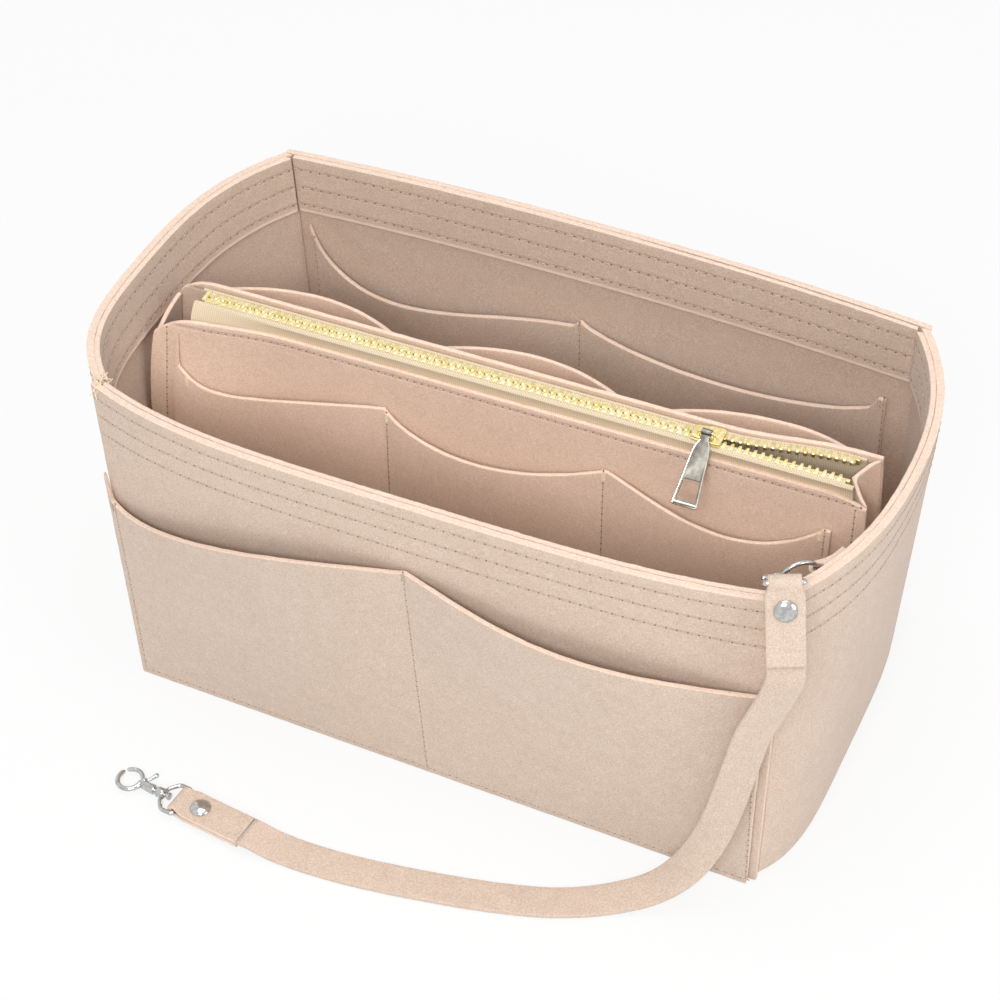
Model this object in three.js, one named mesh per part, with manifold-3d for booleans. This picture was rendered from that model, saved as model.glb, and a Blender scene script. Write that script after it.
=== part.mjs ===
// Felt handbag organizer: an open felt case with pockets, a zipped felt pouch that lifts out of it,
// and a felt key strap with a swivel clasp at each end. Millimetres, +Z up, front at -Y, origin at
// the centre of the underside.
import * as THREE from "three";
import { mergeVertices } from "three/addons/utils/BufferGeometryUtils.js";
import Module from "manifold-3d";

const wasm = await Module();
wasm.setup();

// Felt layers and the space between pieces
const feltThickness = 3;
const hemThickness = 2.4;
const pocketThickness = 2.5;
const pouchThickness = 2.2;
const pouchPocketThickness = 2;
const layerGap = 0.3;

// Open case
const caseHeight = 174;
const halfLengthAtFloor = 150;
const halfLengthAtRim = 153.65;
const halfDepthAtFloor = 88.5;
const halfDepthAtRim = 86.7;
const frontBulge = 13;
const backBulge = 7;
const endBowAtFloor = 12.5;
const endBowAtRim = 24;
const seamDepth = 3.5;
const floorBend = 8;
const floorCorner = 3.5;
const hemHeight = 31;
const hemGap = 0.5;
const hemEndInset = 5;
const frontLeanShare = 0.2;
const slantInsetShare = 0.985;
const frontCurveShare = 4;
const backCurveShare = 2.2;
// How square each half of an end wall is: at the floor, then at the rim
const leftFrontCurveShares = [3.2, 4.2];
const leftBackCurveShares = [3.2, 2.6];
const rightFrontCurveShares = [6, 2.4];
const rightBackCurveShares = [4, 2.6];

// Pockets, each from one seam to the next, with a mouth that dips between them. Places along are
// shares of the half length that the row follows; heights and dips are shares of the case's height
const frontPocketShares = [
  { from: -0.999, to: -0.02343, start: 0.72414, end: 0.78448, drop: 0.1046, early: 0.2, late: 1.84 },
  { from: -0.02343, to: 0.97885, start: 0.78736, end: 0.69828, drop: 0.04253, early: 1.71, late: 2.44 },
];
const backPocketShares = [
  { from: -0.94, to: -0.05207, start: 0.78161, end: 0.66954, drop: 0.14943, early: 0.6, late: 1.89 },
  { from: -0.05207, to: 0.88252, start: 0.68966, end: 0.73851, drop: 0.06494, early: 0.62, late: 0.33 },
];
const pouchFrontPocketShares = [
  { from: -0.925, to: -0.33026, start: 0.87356, end: 0.78448, drop: 0.12644, early: 0.35, late: 1.5 },
  { from: -0.33026, to: 0.29564, start: 0.78506, end: 0.78736, drop: 0.06954, early: 0.69, late: 1.06 },
  { from: 0.29564, to: 0.89511, start: 0.78966, end: 0.79885, drop: 0.07931, early: 1.54, late: 0.93 },
];
const pouchBackPocketShares = [
  { from: -0.95941, to: -0.32595, start: 0.86782, end: 0.86782, drop: 0.01149, early: 1, late: 1 },
  { from: -0.32595, to: 0.32779, start: 0.86782, end: 0.86782, drop: 0.01149, early: 1, late: 1 },
  { from: 0.32779, to: 0.97075, start: 0.86782, end: 0.86782, drop: 0.01149, early: 1, late: 1 },
];
const frontPocketBulge = 7.5;
const backPocketBulge = 7.5;
const backPocketMargin = 3.6;
const pouchFrontPocketBulge = 6;
const pouchFrontPocketMargin = 3.4;
const pouchBackPocketBulge = 21;
const pocketGap = 0.7;
const bulgeRoundShare = 0.8;
const bulgeRiseShare = 1.3;

// Pouch, in its own frame, turned a little inside the case
const pouchTurnShare = 0.0227;
const pouchFrontDrop = 17;
const pouchBackDrop = 11;
const pouchFrontTopY = -11.5;
const pouchBackTopY = 5;
const pouchSpread = 7.5;
const pouchSpreadShare = 1.5;
const pouchSwell = 14;
const pouchSwellInset = 62.6;
const pouchSwellRun = 60;
const pouchSwellTopShare = 0.45;
const swellHeightShare = 0.65;
const pouchCornerInset = 16.6;
const pouchCornerRun = 18;
const pouchCornerDrop = 11;
const pouchBackCornerRun = 16;
const pouchBackCornerDrop = 9;
const pouchRightCorner = 4;
// Room between the case's end and the pouch's edge, by share of the case's height
const roomHeightShares = [0, 0.1149, 0.2874, 0.3448, 0.4598, 0.6322, 0.7931, 0.9368];
const leftRoom = [12.5, 7.7, 5.9, 5.7, 5.5, 5.8, 8, 14.7];
const rightRoom = [12.5, 9.7, 10, 10.2, 11.4, 12.8, 14.9, 18.2];
const leftGussetBow = 1;
const rightGussetFold = -8;
const gussetFoldRise = 60;
const gussetFoldShare = 1.5;
const pouchSeamGap = 0.6;
const pouchBend = 6;
const pouchBendCorner = 3;
const openingShift = 6.5;
const openingRun = 50;

// Zipper, along the pouch's length
const chainY = -4.4;
const chainDrop = 1;
const chainStartInset = 19;
const chainEndInset = 10.5;
const toothPitch = 3.3;
const toothWidth = 1.35;
const toothHeight = 2;
const toothReach = 0.4;
const beadOffset = 2.7;
const beadHalf = 0.5;
const sliderFromEnd = 59.5;
const rowSplit = 1;
const splitRun = 5;
const splitLead = 1;
const tapeThickness = 0.6;
const tapeGap = 0.35;
const tapeKnee = 2.6;
const tapeHang = 11;
const tapeLead = 5;
const tapeTail = 4.4;
const stopLength = 2;
const stopHeight = 2.8;

// Slider and puller
const sliderHalfLength = 6.6;
const sliderWall = 0.65;
const plateThickness = 1;
const slotHeight = 1.4;
const bridgeY = -2.2;
const bridgeRise = 2.6;
const bridgeHalf = 3.2;
const bridgeRadius = 0.6;
const knuckleRadius = 1.5;
const knuckleHalf = 2.2;
const knuckleBore = 0.9;
const pullerThickness = 1.2;
const pullerLength = 32;
const pullerNeckHalf = 1.9;
const pullerNeckEnd = 4;
const pullerShoulderHalf = 3.4;
const pullerShoulder = 7;
const pullerFootHalf = 5.5;
const windowTop = 20.5;
const windowBottom = 29.4;
const windowTopHalf = 3.5;
const windowBottomHalf = 4.2;
const pullerDropDegrees = 38;

// Key strap: a flat felt strip, its ends folded round the clasp loops and riveted
const strapWidth = 15;
const strapThickness = 2;
const tabLength = 34;
const tabFelt = 2;
const foldBore = 1.4;
const foldNarrowShare = 0.84;
const foldRun = 6;
const foldInnerDegrees = 150;
const foldOuterDegrees = 125;
const rivetX = -10.5;
const rivetHead = 4.6;
const rivetDome = 1.7;
const rivetShaft = 1.2;
const strapGap = 0.5;
const strapLead = 5;

// Strap centreline between the two folded ends, from the upper one down to the floor
const strapRoute = [
  [158, -100.6, 139.5],
  [153.4, -100.4, 124.7],
  [148.6, -101.2, 109.8],
  [144.3, -102.2, 87.3],
  [138.7, -104, 57.7],
  [132.6, -106.4, 36],
  [124.6, -110, 19.5],
  [114, -115, 8.4],
  [99, -123, 2.6],
  [79.2, -133.5, 1.6],
  [54.9, -141.5, 1.3],
  [12.3, -150.8, 1.2],
  [-20, -155.4, 1.3],
  [-44, -156.6, 2.1],
];
const strapFacing = [
  [0.43, -0.86, 0.15],
  [0.45, -0.89, 0],
  [0.44, -0.9, 0],
  [0.38, -0.92, 0],
  [0.25, -0.95, 0.1],
  [0.05, -0.85, 0.4],
  [-0.1, -0.6, 0.7],
  [-0.1, -0.3, 0.9],
  [-0.03, -0.1, 1],
  [0, 0, 1],
  [0, 0, 1],
  [0, 0, 1],
  [0, 0, 1],
  [0.02, 0, 1],
];

// Clasps: loop, swivel hook and sprung trigger, along +X from the strap's fold
const wireRadius = 1;
const loopHalfWidth = 7.6;
const loopDepth = 9.4;
const loopShoulderShare = 0.62;
const loopTopShare = 0.45;
const collarRadius = 2.5;
const collarLength = 3;
const postRadius = 1.1;
const postHeadShare = 1.6;
const bodyStart = 14.4;
const bodyLength = 7.4;
const bodyRadius = 2.3;
const bodyTipRadius = 1.7;
const ringX = 28.1;
const ringRadius = 5.6;
const ringWire = 1.15;
const hookStartDegrees = -188;
const hookEndDegrees = 120;
const gateStartDegrees = 40;
const gateEndDegrees = 152;
const pivotX = 21.2;
const pivotY = 1.5;
const gateReach = 11.2;
const gateGap = 0.3;
const slitGap = 0.48;
const forkHalf = 1.8;
const gateHalf = 0.75;
const gateEye = 1.5;
const pinRadius = 0.6;
const pinBore = 0.9;
const thumbX = -2.6;
const thumbY = 6.4;
const thumbRadius = 1;
const leverTipShare = 0.8;

// Where the folded ends sit: the upper one outside the rim's front right corner, the lower one on the floor
const upperFoldInset = 1.05;
const upperFoldProud = 0.7;
const upperFoldRise = 11.8;
const upperTabDown = [0.2, -0.36, -0.91];
const upperTabWidth = [0.91, 0.41, 0.05];
const upperClaspAim = [-0.32, 0.67, -0.67];
const lowerFoldX = -93.2;
const lowerFoldY = -153.4;
const lowerFoldLift = 0.15;
const lowerTabBack = [0.995, -0.099, 0];
const lowerClaspAim = [-0.998, 0.03, -0.05];

// Anchor ring and its felt tab on the right end
const anchorInset = 29.7;
const anchorWire = 0.95;
const anchorRiseShare = 0.39;
const anchorTabHeight = 6;
const anchorTabLength = 15;
const anchorFelt = 1.6;
const anchorBore = 2.7;
const anchorTailShares = [[0, -0.2], [1.6, -0.2], [0.8, -0.75]];

const { lerp } = THREE.MathUtils;
const vector = (list) => new THREE.Vector3(...list);
const clamp = (value) => Math.min(1, Math.max(0, value));
const eased = (value) => clamp(value) ** 2 * (3 - 2 * clamp(value));
const shares = (count) => Array.from({ length: count + 1 }, (_, index) => index / count);
const rounded = (share) => (1 - Math.cos(Math.PI * share)) / 2;

const felt = (name, color) => new THREE.MeshStandardMaterial({ name, color, roughness: 0.95 });
const metal = (name, color, roughness) => new THREE.MeshStandardMaterial({
  name,
  color,
  roughness,
  metalness: 1,
});
const caseFelt = felt("case felt", 0xd6c7b8);
const pouchFelt = felt("pouch felt", 0xd9bfa9);
const tapeCloth = felt("zipper tape", 0xe9d9b0);
const goldMetal = metal("pale gold metal", 0xe6d9a0, 0.3);
const pullerMetal = metal("puller metal", 0x9a978a, 0.3);
const chromeMetal = metal("polished metal", 0xd8d8d6, 0.12);

function piece(name, geometry, material) {
  const mesh = new THREE.Mesh(geometry, material);
  mesh.name = name;
  return mesh;
}

// Six times the signed volume of a triangle mesh
function signedVolume(positions, indices) {
  let total = 0;
  const corner = (index) => new THREE.Vector3().fromArray(positions, 3 * index);
  for (let at = 0; at < indices.length; at += 3) {
    const [a, b, c] = [corner(indices[at]), corner(indices[at + 1]), corner(indices[at + 2])];
    total += a.dot(b.cross(c));
  }
  return total;
}

function indexed(positions, indices) {
  if (signedVolume(positions, indices) < 0) {
    indices.reverse();
  }
  const geometry = new THREE.BufferGeometry();
  geometry.setAttribute("position", new THREE.Float32BufferAttribute(positions, 3));
  geometry.setIndex(indices);
  geometry.computeVertexNormals();
  return geometry;
}

// A closed sheet between two faces, each given as a point for shares across and along
function sheet(across, along, outer, inner) {
  const positions = [];
  const indices = [];
  const stride = across.length;
  const layer = stride * along.length;
  for (const face of [outer, inner]) {
    for (const up of along) {
      for (const over of across) {
        positions.push(...face(over, up));
      }
    }
  }
  const quad = (a, b, c, d) => indices.push(a, b, c, a, c, d);
  for (let row = 0; row < along.length - 1; row += 1) {
    for (let column = 0; column < stride - 1; column += 1) {
      const a = row * stride + column;
      quad(a, a + 1, a + stride + 1, a + stride);
      quad(layer + a, layer + a + stride, layer + a + stride + 1, layer + a + 1);
    }
    const left = row * stride;
    const right = left + stride - 1;
    quad(left, left + stride, layer + left + stride, layer + left);
    quad(right, layer + right, layer + right + stride, right + stride);
  }
  const top = layer - stride;
  for (let column = 0; column < stride - 1; column += 1) {
    quad(column, layer + column, layer + column + 1, column + 1);
    quad(top + column, top + column + 1, layer + top + column + 1, layer + top + column);
  }
  return indexed(positions, indices);
}

function solid(geometry) {
  const plain = geometry.clone();
  plain.deleteAttribute("normal");
  plain.deleteAttribute("uv");
  const merged = mergeVertices(plain);
  return new wasm.Manifold(new wasm.Mesh({
    numProp: 3,
    vertProperties: new Float32Array(merged.attributes.position.array),
    triVerts: new Uint32Array(merged.index.array),
  }));
}

function geometryOf(manifold) {
  const mesh = manifold.getMesh();
  return indexed(Array.from(mesh.vertProperties), Array.from(mesh.triVerts));
}

const joined = (first, ...others) => others.reduce((sum, next) => sum.add(next), first);

function box(sizeX, sizeY, sizeZ, x, y, z) {
  return solid(new THREE.BoxGeometry(sizeX, sizeY, sizeZ).translate(x, y, z));
}

// A round bar between two points
function bar(start, end, startRadius, endRadius, sides) {
  const axis = end.clone().sub(start);
  const geometry = new THREE.CylinderGeometry(endRadius, startRadius, axis.length(), sides);
  geometry.translate(0, axis.length() / 2, 0);
  const turn = new THREE.Quaternion().setFromUnitVectors(new THREE.Vector3(0, 1, 0), axis.normalize());
  return geometry.applyQuaternion(turn).translate(start.x, start.y, start.z);
}

function plate(points, thickness, holes = []) {
  const shape = new THREE.Shape(points.map(([x, y]) => new THREE.Vector2(x, y)));
  for (const hole of holes) {
    shape.holes.push(new THREE.Path(hole.map(([x, y]) => new THREE.Vector2(x, y))));
  }
  const geometry = new THREE.ExtrudeGeometry(shape, { depth: thickness, bevelEnabled: false });
  return geometry.translate(0, 0, -thickness / 2);
}

function arcPoints(radius, start, end, count) {
  return shares(count).map((share) => {
    const angle = THREE.MathUtils.degToRad(lerp(start, end, share));
    return [radius * Math.cos(angle), radius * Math.sin(angle)];
  });
}

// Case walls
const rise = (z) => z / caseHeight;
const seamX = (z) => lerp(halfLengthAtFloor, halfLengthAtRim, rise(z));
const seamY = (z) => lerp(halfDepthAtFloor, halfDepthAtRim, rise(z));

function frontWallY(x, z) {
  const along = clamp(Math.abs(x) / seamX(z)) * Math.sign(x);
  const round = (1 - Math.abs(along) ** frontCurveShare) * (1 - frontLeanShare * along);
  return -seamY(z) - frontBulge * rise(z) * round;
}

function backWallY(x, z) {
  const along = clamp(Math.abs(x) / seamX(z));
  return seamY(z) + backBulge * rise(z) * (1 - along ** backCurveShare);
}

function endWallX(side, y, z) {
  const along = clamp(Math.abs(y) / (seamY(z) - seamDepth));
  const left = y < 0 ? leftFrontCurveShares : leftBackCurveShares;
  const right = y < 0 ? rightFrontCurveShares : rightBackCurveShares;
  const curve = lerp(...(side < 0 ? left : right), rise(z));
  return side * (seamX(z) + lerp(endBowAtFloor, endBowAtRim, rise(z)) * (1 - along ** curve));
}

// How much longer a layer is along an axis than across its own face
function slant(surface, at) {
  const inside = at * slantInsetShare;
  return Math.hypot(1, (surface(inside + layerGap) - surface(inside - layerGap)) / (2 * layerGap));
}

const frontInsideY = (x, z, depth) => frontWallY(x, z) + depth * slant((at) => frontWallY(at, z), x);
const backInsideY = (x, z, depth) => backWallY(x, z) - depth * slant((at) => backWallY(at, z), x);
function endInsideX(side, y, z, depth) {
  return endWallX(side, y, z) - side * depth * slant((at) => endWallX(side, at, z), y);
}

// A strip that makes the left end, the floor and the right end of a bag in one piece
function endToEndStrip(shape, across, wallShares, bendRows, floorShares) {
  const stations = [];
  for (const share of wallShares.toReversed().slice(0, -1)) {
    stations.push({ side: -1, wall: share });
  }
  for (const share of shares(bendRows)) {
    stations.push({ side: -1, bend: share });
  }
  for (const share of floorShares.slice(1, -1)) {
    stations.push({ floor: share });
  }
  for (const share of shares(bendRows).reverse()) {
    stations.push({ side: 1, bend: share });
  }
  for (const share of wallShares.slice(1)) {
    stations.push({ side: 1, wall: share });
  }
  const bendRadius = (w) => lerp(shape.bend, shape.bendCorner, w * w);
  const bendPoint = (side, w, turn, depth) => {
    const radius = bendRadius(w);
    const wallZ = shape.floorZ + radius;
    const x = shape.endX(side, w, wallZ);
    const layer = depth * lerp(shape.slantAt(side, w, wallZ), 1, turn);
    const angle = (Math.PI / 2) * turn;
    return [
      x - side * radius + side * (radius - layer) * Math.cos(angle),
      wallZ - (radius - layer) * Math.sin(angle),
    ];
  };
  const point = (depth) => (over, index) => {
    const w = 2 * over - 1;
    const station = stations[index];
    let x;
    let z;
    if (station.wall !== undefined) {
      z = lerp(shape.floorZ + bendRadius(w), shape.topZ(station.side, w), station.wall);
      const layer = depth * shape.slantAt(station.side, w, z);
      x = shape.endX(station.side, w, z) - station.side * layer;
    } else if (station.bend !== undefined) {
      [x, z] = bendPoint(station.side, w, station.bend, depth);
    } else {
      const [leftX] = bendPoint(-1, w, 1, depth);
      const [rightX] = bendPoint(1, w, 1, depth);
      x = lerp(leftX, rightX, station.floor);
      z = shape.floorZ + depth;
    }
    return [x, shape.y(x, w, z), z];
  };
  return sheet(shares(across).map(rounded), stations.keys().toArray(), point(0), point(shape.thickness));
}

// A panel that lies on a base face; x follows the bag's edges, the top edge is a function of x
function panel(columns, rows, edgeScale, bottomZ, topZ, outerY, innerY) {
  const place = (face) => (at, up) => {
    const z = lerp(bottomZ, topZ(at), up);
    const x = at * edgeScale(at, z);
    return [x, face(x, z, at), z];
  };
  return sheet(columns, rows, place(outerY), place(innerY));
}

// Pockets of one row in millimetres, from their shares of a half length and of the case's height
function pocketsFrom(rowShares, halfLength) {
  const along = (share) => share * halfLength(Math.sign(share));
  return rowShares.map((pocket) => ({
    ...pocket,
    from: along(pocket.from),
    to: along(pocket.to),
    startZ: pocket.start * caseHeight,
    endZ: pocket.end * caseHeight,
    drop: pocket.drop * caseHeight,
  }));
}

function scoopedTop(pocket, share) {
  const { early, late } = pocket;
  const low = early / (early + late);
  const peak = low ** early * (1 - low) ** late;
  const dip = (share ** early * (1 - share) ** late) / peak;
  return lerp(pocket.startZ, pocket.endZ, share) - pocket.drop * dip;
}

// A panel sewn at its edges and between its pockets, bulging away from the wall behind it
function pocketPanel(options) {
  const { pockets, steps, rows, margin, bottomZ, thickness, bulge, baseY, outward, scale } = options;
  const columns = [];
  for (const pocket of pockets) {
    for (const share of shares(steps)) {
      columns.push({ at: lerp(pocket.from, pocket.to, rounded(share)), share: rounded(share), pocket });
    }
    if (pocket !== pockets.at(-1)) {
      columns.pop();
    }
  }
  const last = pockets.at(-1);
  if (margin > 0) {
    columns.push({ at: last.to + margin, share: 1, pocket: last });
  }
  const backFace = (column, z, shift) => {
    const { pocket, share } = column;
    const top = scoopedTop(pocket, share);
    const place = clamp(share + shift / (pocket.to - pocket.from));
    const swell = bulge * Math.sin(Math.PI * place) ** bulgeRoundShare
      * clamp((z - bottomZ) / (top - bottomZ)) ** bulgeRiseShare;
    const x = (column.at + shift) * scale(column.at, z);
    return baseY(x, z) + outward * (pocketGap + swell);
  };
  const place = (depth) => (index, up) => {
    const column = columns[index];
    const z = lerp(bottomZ, scoopedTop(column.pocket, column.share), up);
    const slope = (backFace(column, z, layerGap) - backFace(column, z, -layerGap)) / (2 * layerGap);
    const y = backFace(column, z, 0) + outward * depth * Math.hypot(1, slope);
    return [column.at * scale(column.at, z), y, z];
  };
  return sheet(columns.keys().toArray(), shares(rows), place(thickness), place(0));
}

const caseShape = {
  floorZ: 0,
  thickness: feltThickness,
  bend: floorBend,
  bendCorner: floorCorner,
  topZ: () => caseHeight,
  endX: (side, w, z) => endWallX(side, w * (seamY(z) - seamDepth), z),
  slantAt: (side, w, z) => slant((at) => endWallX(side, at, z), w * (seamY(z) - seamDepth)),
  y: (x, w, z) => w * (seamY(z) - seamDepth),
};

function caseWalls() {
  const columns = shares(20).map((share) => 2 * share - 1);
  const rows = shares(3);
  const scale = (at, z) => seamX(z);
  const top = () => caseHeight;
  const front = panel(columns, rows, scale, 0, top, frontWallY, (x, z) => frontInsideY(x, z, feltThickness));
  const back = panel(columns, rows, scale, 0, top, backWallY, (x, z) => backInsideY(x, z, feltThickness));
  return [
    piece("gusset_strip", endToEndStrip(caseShape, 14, shares(3), 4, shares(4)), caseFelt),
    piece("front_panel", front, caseFelt),
    piece("back_panel", back, caseFelt),
  ];
}

function hemBands() {
  const columns = shares(20).map((share) => 2 * share - 1);
  const rows = shares(1);
  const bottom = caseHeight - hemHeight;
  const outside = feltThickness + hemGap;
  const inside = outside + hemThickness;
  const top = () => caseHeight;
  const scale = (at, z) => seamX(z) - hemEndInset;
  const longBand = (wall) => panel(columns, rows, scale, bottom, top,
    (x, z) => wall(x, z, outside), (x, z) => wall(x, z, inside));
  const endInset = seamDepth + hemThickness + layerGap;
  const endBand = (side) => {
    const place = (depth) => (over, up) => {
      const z = lerp(bottom, caseHeight, up);
      const y = over * (seamY(z) - endInset);
      return [endInsideX(side, y, z, depth), y, z];
    };
    return sheet(shares(14).map((share) => 2 * rounded(share) - 1), rows, place(outside), place(inside));
  };
  return [
    piece("front_hem_band", longBand(frontInsideY), caseFelt),
    piece("back_hem_band", longBand(backInsideY), caseFelt),
    piece("left_hem_band", endBand(-1), caseFelt),
    piece("right_hem_band", endBand(1), caseFelt),
  ];
}

function casePockets() {
  const scale = (at, z) => seamX(z) / halfLengthAtRim;
  const front = pocketPanel({
    pockets: pocketsFrom(frontPocketShares, () => halfLengthAtRim),
    steps: 12,
    rows: 6,
    margin: 0,
    bottomZ: 0,
    thickness: pocketThickness,
    bulge: frontPocketBulge,
    baseY: frontWallY,
    outward: -1,
    scale,
  });
  const back = pocketPanel({
    pockets: pocketsFrom(backPocketShares, () => halfLengthAtRim),
    steps: 10,
    rows: 6,
    margin: backPocketMargin,
    bottomZ: feltThickness + layerGap,
    thickness: pocketThickness,
    bulge: backPocketBulge,
    baseY: (x, z) => backInsideY(x, z, feltThickness),
    outward: -1,
    scale,
  });
  return [
    piece("front_pocket_panel", front, caseFelt),
    piece("back_pocket_panel", back, caseFelt),
  ];
}

// Pouch walls, with closer columns towards the left end, which swells forward and has round corners
const swellShare = 0.24;
const swellCrowdShare = 1.4;
const pouchRowShares = [0, 0.15, 0.3, 0.45, 0.6, 0.72, 0.82, 0.91, 1];
const pouchColumnShares = [
  ...shares(10).map((share) => swellShare * share ** swellCrowdShare),
  ...shares(20).slice(1).map((share) => lerp(swellShare, 1, share)),
];
const pouchFloor = feltThickness + layerGap;

const pouchFrontTop = caseHeight - pouchFrontDrop;
const pouchBackTop = caseHeight - pouchBackDrop;

function pouchEdge(side, z) {
  const room = side < 0 ? leftRoom : rightRoom;
  const level = rise(z);
  const found = roomHeightShares.findIndex((share) => share >= level);
  const next = found < 0 ? roomHeightShares.length - 1 : Math.max(1, found);
  const [low, high] = [roomHeightShares[next - 1], roomHeightShares[next]];
  return side * endWallX(side, 0, z) - lerp(room[next - 1], room[next], clamp((level - low) / (high - low)));
}

const pouchHalfLength = (side) => pouchEdge(side, pouchFrontTop);

// Places along the pouch, from its edges at the top
const pouchSwellStart = pouchSwellInset - pouchHalfLength(-1);
const pouchCornerStart = pouchCornerInset - pouchHalfLength(-1);
const chainZ = pouchBackTop - chainDrop;
const chainStart = chainStartInset - pouchEdge(-1, pouchBackTop);
const chainEnd = pouchEdge(1, pouchBackTop) - chainEndInset;
const sliderX = chainEnd - sliderFromEnd;
const tapeBottom = pouchFrontTop - tapeHang;
const tapeStart = chainStart - tapeLead;
const tapeFinish = chainEnd + tapeTail;

const fullness = (z, top) => 1 - clamp((z - pouchFloor) / (top - pouchFloor)) ** pouchSpreadShare;
const opening = (x) => openingShift * eased((x - sliderX - sliderHalfLength) / openingRun);

function pouchFrontY(x, z) {
  const height = clamp((z - pouchFloor) / (pouchFrontTop - pouchFloor));
  const fall = lerp(1, pouchSwellTopShare, eased((height - swellHeightShare) / (1 - swellHeightShare)));
  const swell = pouchSwell * eased((pouchSwellStart - x) / pouchSwellRun) * fall;
  return pouchFrontTopY - pouchSpread * fullness(z, pouchFrontTop) - swell;
}

function pouchBackY(x, z) {
  const height = clamp((z - pouchFloor) / (pouchBackTop - pouchFloor));
  return pouchBackTopY + pouchSpread * fullness(z, pouchBackTop) + opening(x) * height * height;
}

const pouchFrontInside = (x, z) => pouchFrontY(x, z) + pouchThickness * slant((at) => pouchFrontY(at, z), x);
const pouchBackInside = (x, z) => pouchBackY(x, z) - pouchThickness * slant((at) => pouchBackY(at, z), x);

function pouchFrontTopZ(x) {
  const left = clamp((pouchCornerStart - x) / pouchCornerRun);
  const right = clamp((x - pouchEdge(1, pouchFrontTop) + pouchRightCorner) / pouchRightCorner);
  return pouchFrontTop - pouchCornerDrop * left * left - pouchRightCorner * right * right;
}

function pouchBackTopZ(x) {
  const left = clamp((pouchBackCornerRun - pouchEdge(-1, pouchBackTop) - x) / pouchBackCornerRun);
  return pouchBackTop - pouchBackCornerDrop * left * left;
}

const pouchShape = {
  floorZ: pouchFloor,
  thickness: pouchThickness,
  bend: pouchBend,
  bendCorner: pouchBendCorner,
  topZ: (side, w) => {
    const front = side < 0 ? pouchFrontTop - pouchCornerDrop : pouchFrontTop - pouchRightCorner;
    const back = side < 0 ? pouchBackTop - pouchBackCornerDrop : pouchBackTop;
    return lerp(front, back - layerGap, (w + 1) / 2);
  },
  endX: (side, w, z) => {
    const bow = side < 0 ? leftGussetBow : rightGussetFold;
    const depth = 1 - Math.abs(w) ** gussetFoldShare;
    return side * (pouchEdge(side, z) + bow * depth * clamp(z / gussetFoldRise));
  },
  slantAt: () => 1,
  y: (x, w, z) => {
    const front = pouchFrontInside(x, z) + pouchSeamGap;
    return lerp(front, pouchBackInside(x, z) - pouchSeamGap, (w + 1) / 2);
  },
};

function pouchWalls() {
  const columns = pouchColumnShares.map((share) => 2 * share - 1);
  const rows = pouchRowShares;
  const scale = (at, z) => pouchEdge(Math.sign(at), z);
  const frontTop = (at) => pouchFrontTopZ(at * pouchEdge(Math.sign(at), pouchFrontTop));
  const backTop = (at) => pouchBackTopZ(at * pouchEdge(Math.sign(at), pouchBackTop));
  const front = panel(columns, rows, scale, pouchFloor, frontTop, pouchFrontY, pouchFrontInside);
  const back = panel(columns, rows, scale, pouchFloor, backTop, pouchBackY, pouchBackInside);
  const gusset = endToEndStrip(pouchShape, 4, pouchRowShares, 2, pouchColumnShares);
  return [
    piece("pouch_gusset_strip", gusset, pouchFelt),
    piece("pouch_front_panel", front, pouchFelt),
    piece("pouch_back_panel", back, pouchFelt),
  ];
}

function pouchPockets() {
  const scale = (at, z) => pouchEdge(Math.sign(at), z) / pouchEdge(Math.sign(at), pouchFrontTop);
  const front = pocketPanel({
    pockets: pocketsFrom(pouchFrontPocketShares, pouchHalfLength),
    steps: 9,
    rows: 7,
    margin: pouchFrontPocketMargin,
    bottomZ: pouchFloor,
    thickness: pouchPocketThickness,
    bulge: pouchFrontPocketBulge,
    baseY: pouchFrontY,
    outward: -1,
    scale,
  });
  const back = pocketPanel({
    pockets: pocketsFrom(pouchBackPocketShares, pouchHalfLength),
    steps: 8,
    rows: 5,
    margin: 0,
    bottomZ: pouchFloor,
    thickness: pouchPocketThickness,
    bulge: pouchBackPocketBulge,
    baseY: pouchBackY,
    outward: 1,
    scale,
  });
  return [
    piece("pouch_front_pockets", front, pouchFelt),
    piece("pouch_back_pockets", back, pouchFelt),
  ];
}

// Zipper rows: shut on the left, parting from the slider to the right
const split = (x) => rowSplit * eased((x - sliderX + splitLead) / splitRun);
const rowY = (side, x) => chainY + side * (beadOffset + split(x)) + (side > 0 ? opening(x) : 0);

// Places along a row, closer together where the rows part
function rowStations(start, finish) {
  const throat = sliderX - splitLead;
  return [
    ...shares(12).slice(0, -1).map((share) => lerp(start, throat, share)),
    ...shares(4).slice(0, -1).map((share) => lerp(throat, throat + splitRun, share)),
    ...shares(12).map((share) => lerp(throat + splitRun, finish, share)),
  ];
}

function toothRow(side) {
  const first = chainStart + (side > 0 ? toothPitch / 2 : 0);
  const count = Math.floor((chainEnd - first) / toothPitch);
  const inner = [];
  for (let tooth = 0; tooth < count; tooth += 1) {
    const x = first + toothPitch * (tooth + 0.5);
    const beadY = rowY(side, x) - side * beadHalf;
    const tipY = rowY(side, x) - side * (beadOffset + toothReach);
    inner.push([x - toothWidth / 2, beadY], [x - toothWidth / 2, tipY]);
    inner.push([x + toothWidth / 2, tipY], [x + toothWidth / 2, beadY]);
  }
  const start = [chainStart, rowY(side, chainStart) - side * beadHalf];
  const finish = [chainEnd, rowY(side, chainEnd) - side * beadHalf];
  const outer = rowStations(chainStart, chainEnd).reverse().map((x) => {
    return [x, rowY(side, x) + side * beadHalf];
  });
  return plate([start, ...inner, finish, ...outer], toothHeight).translate(0, 0, chainZ);
}

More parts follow.
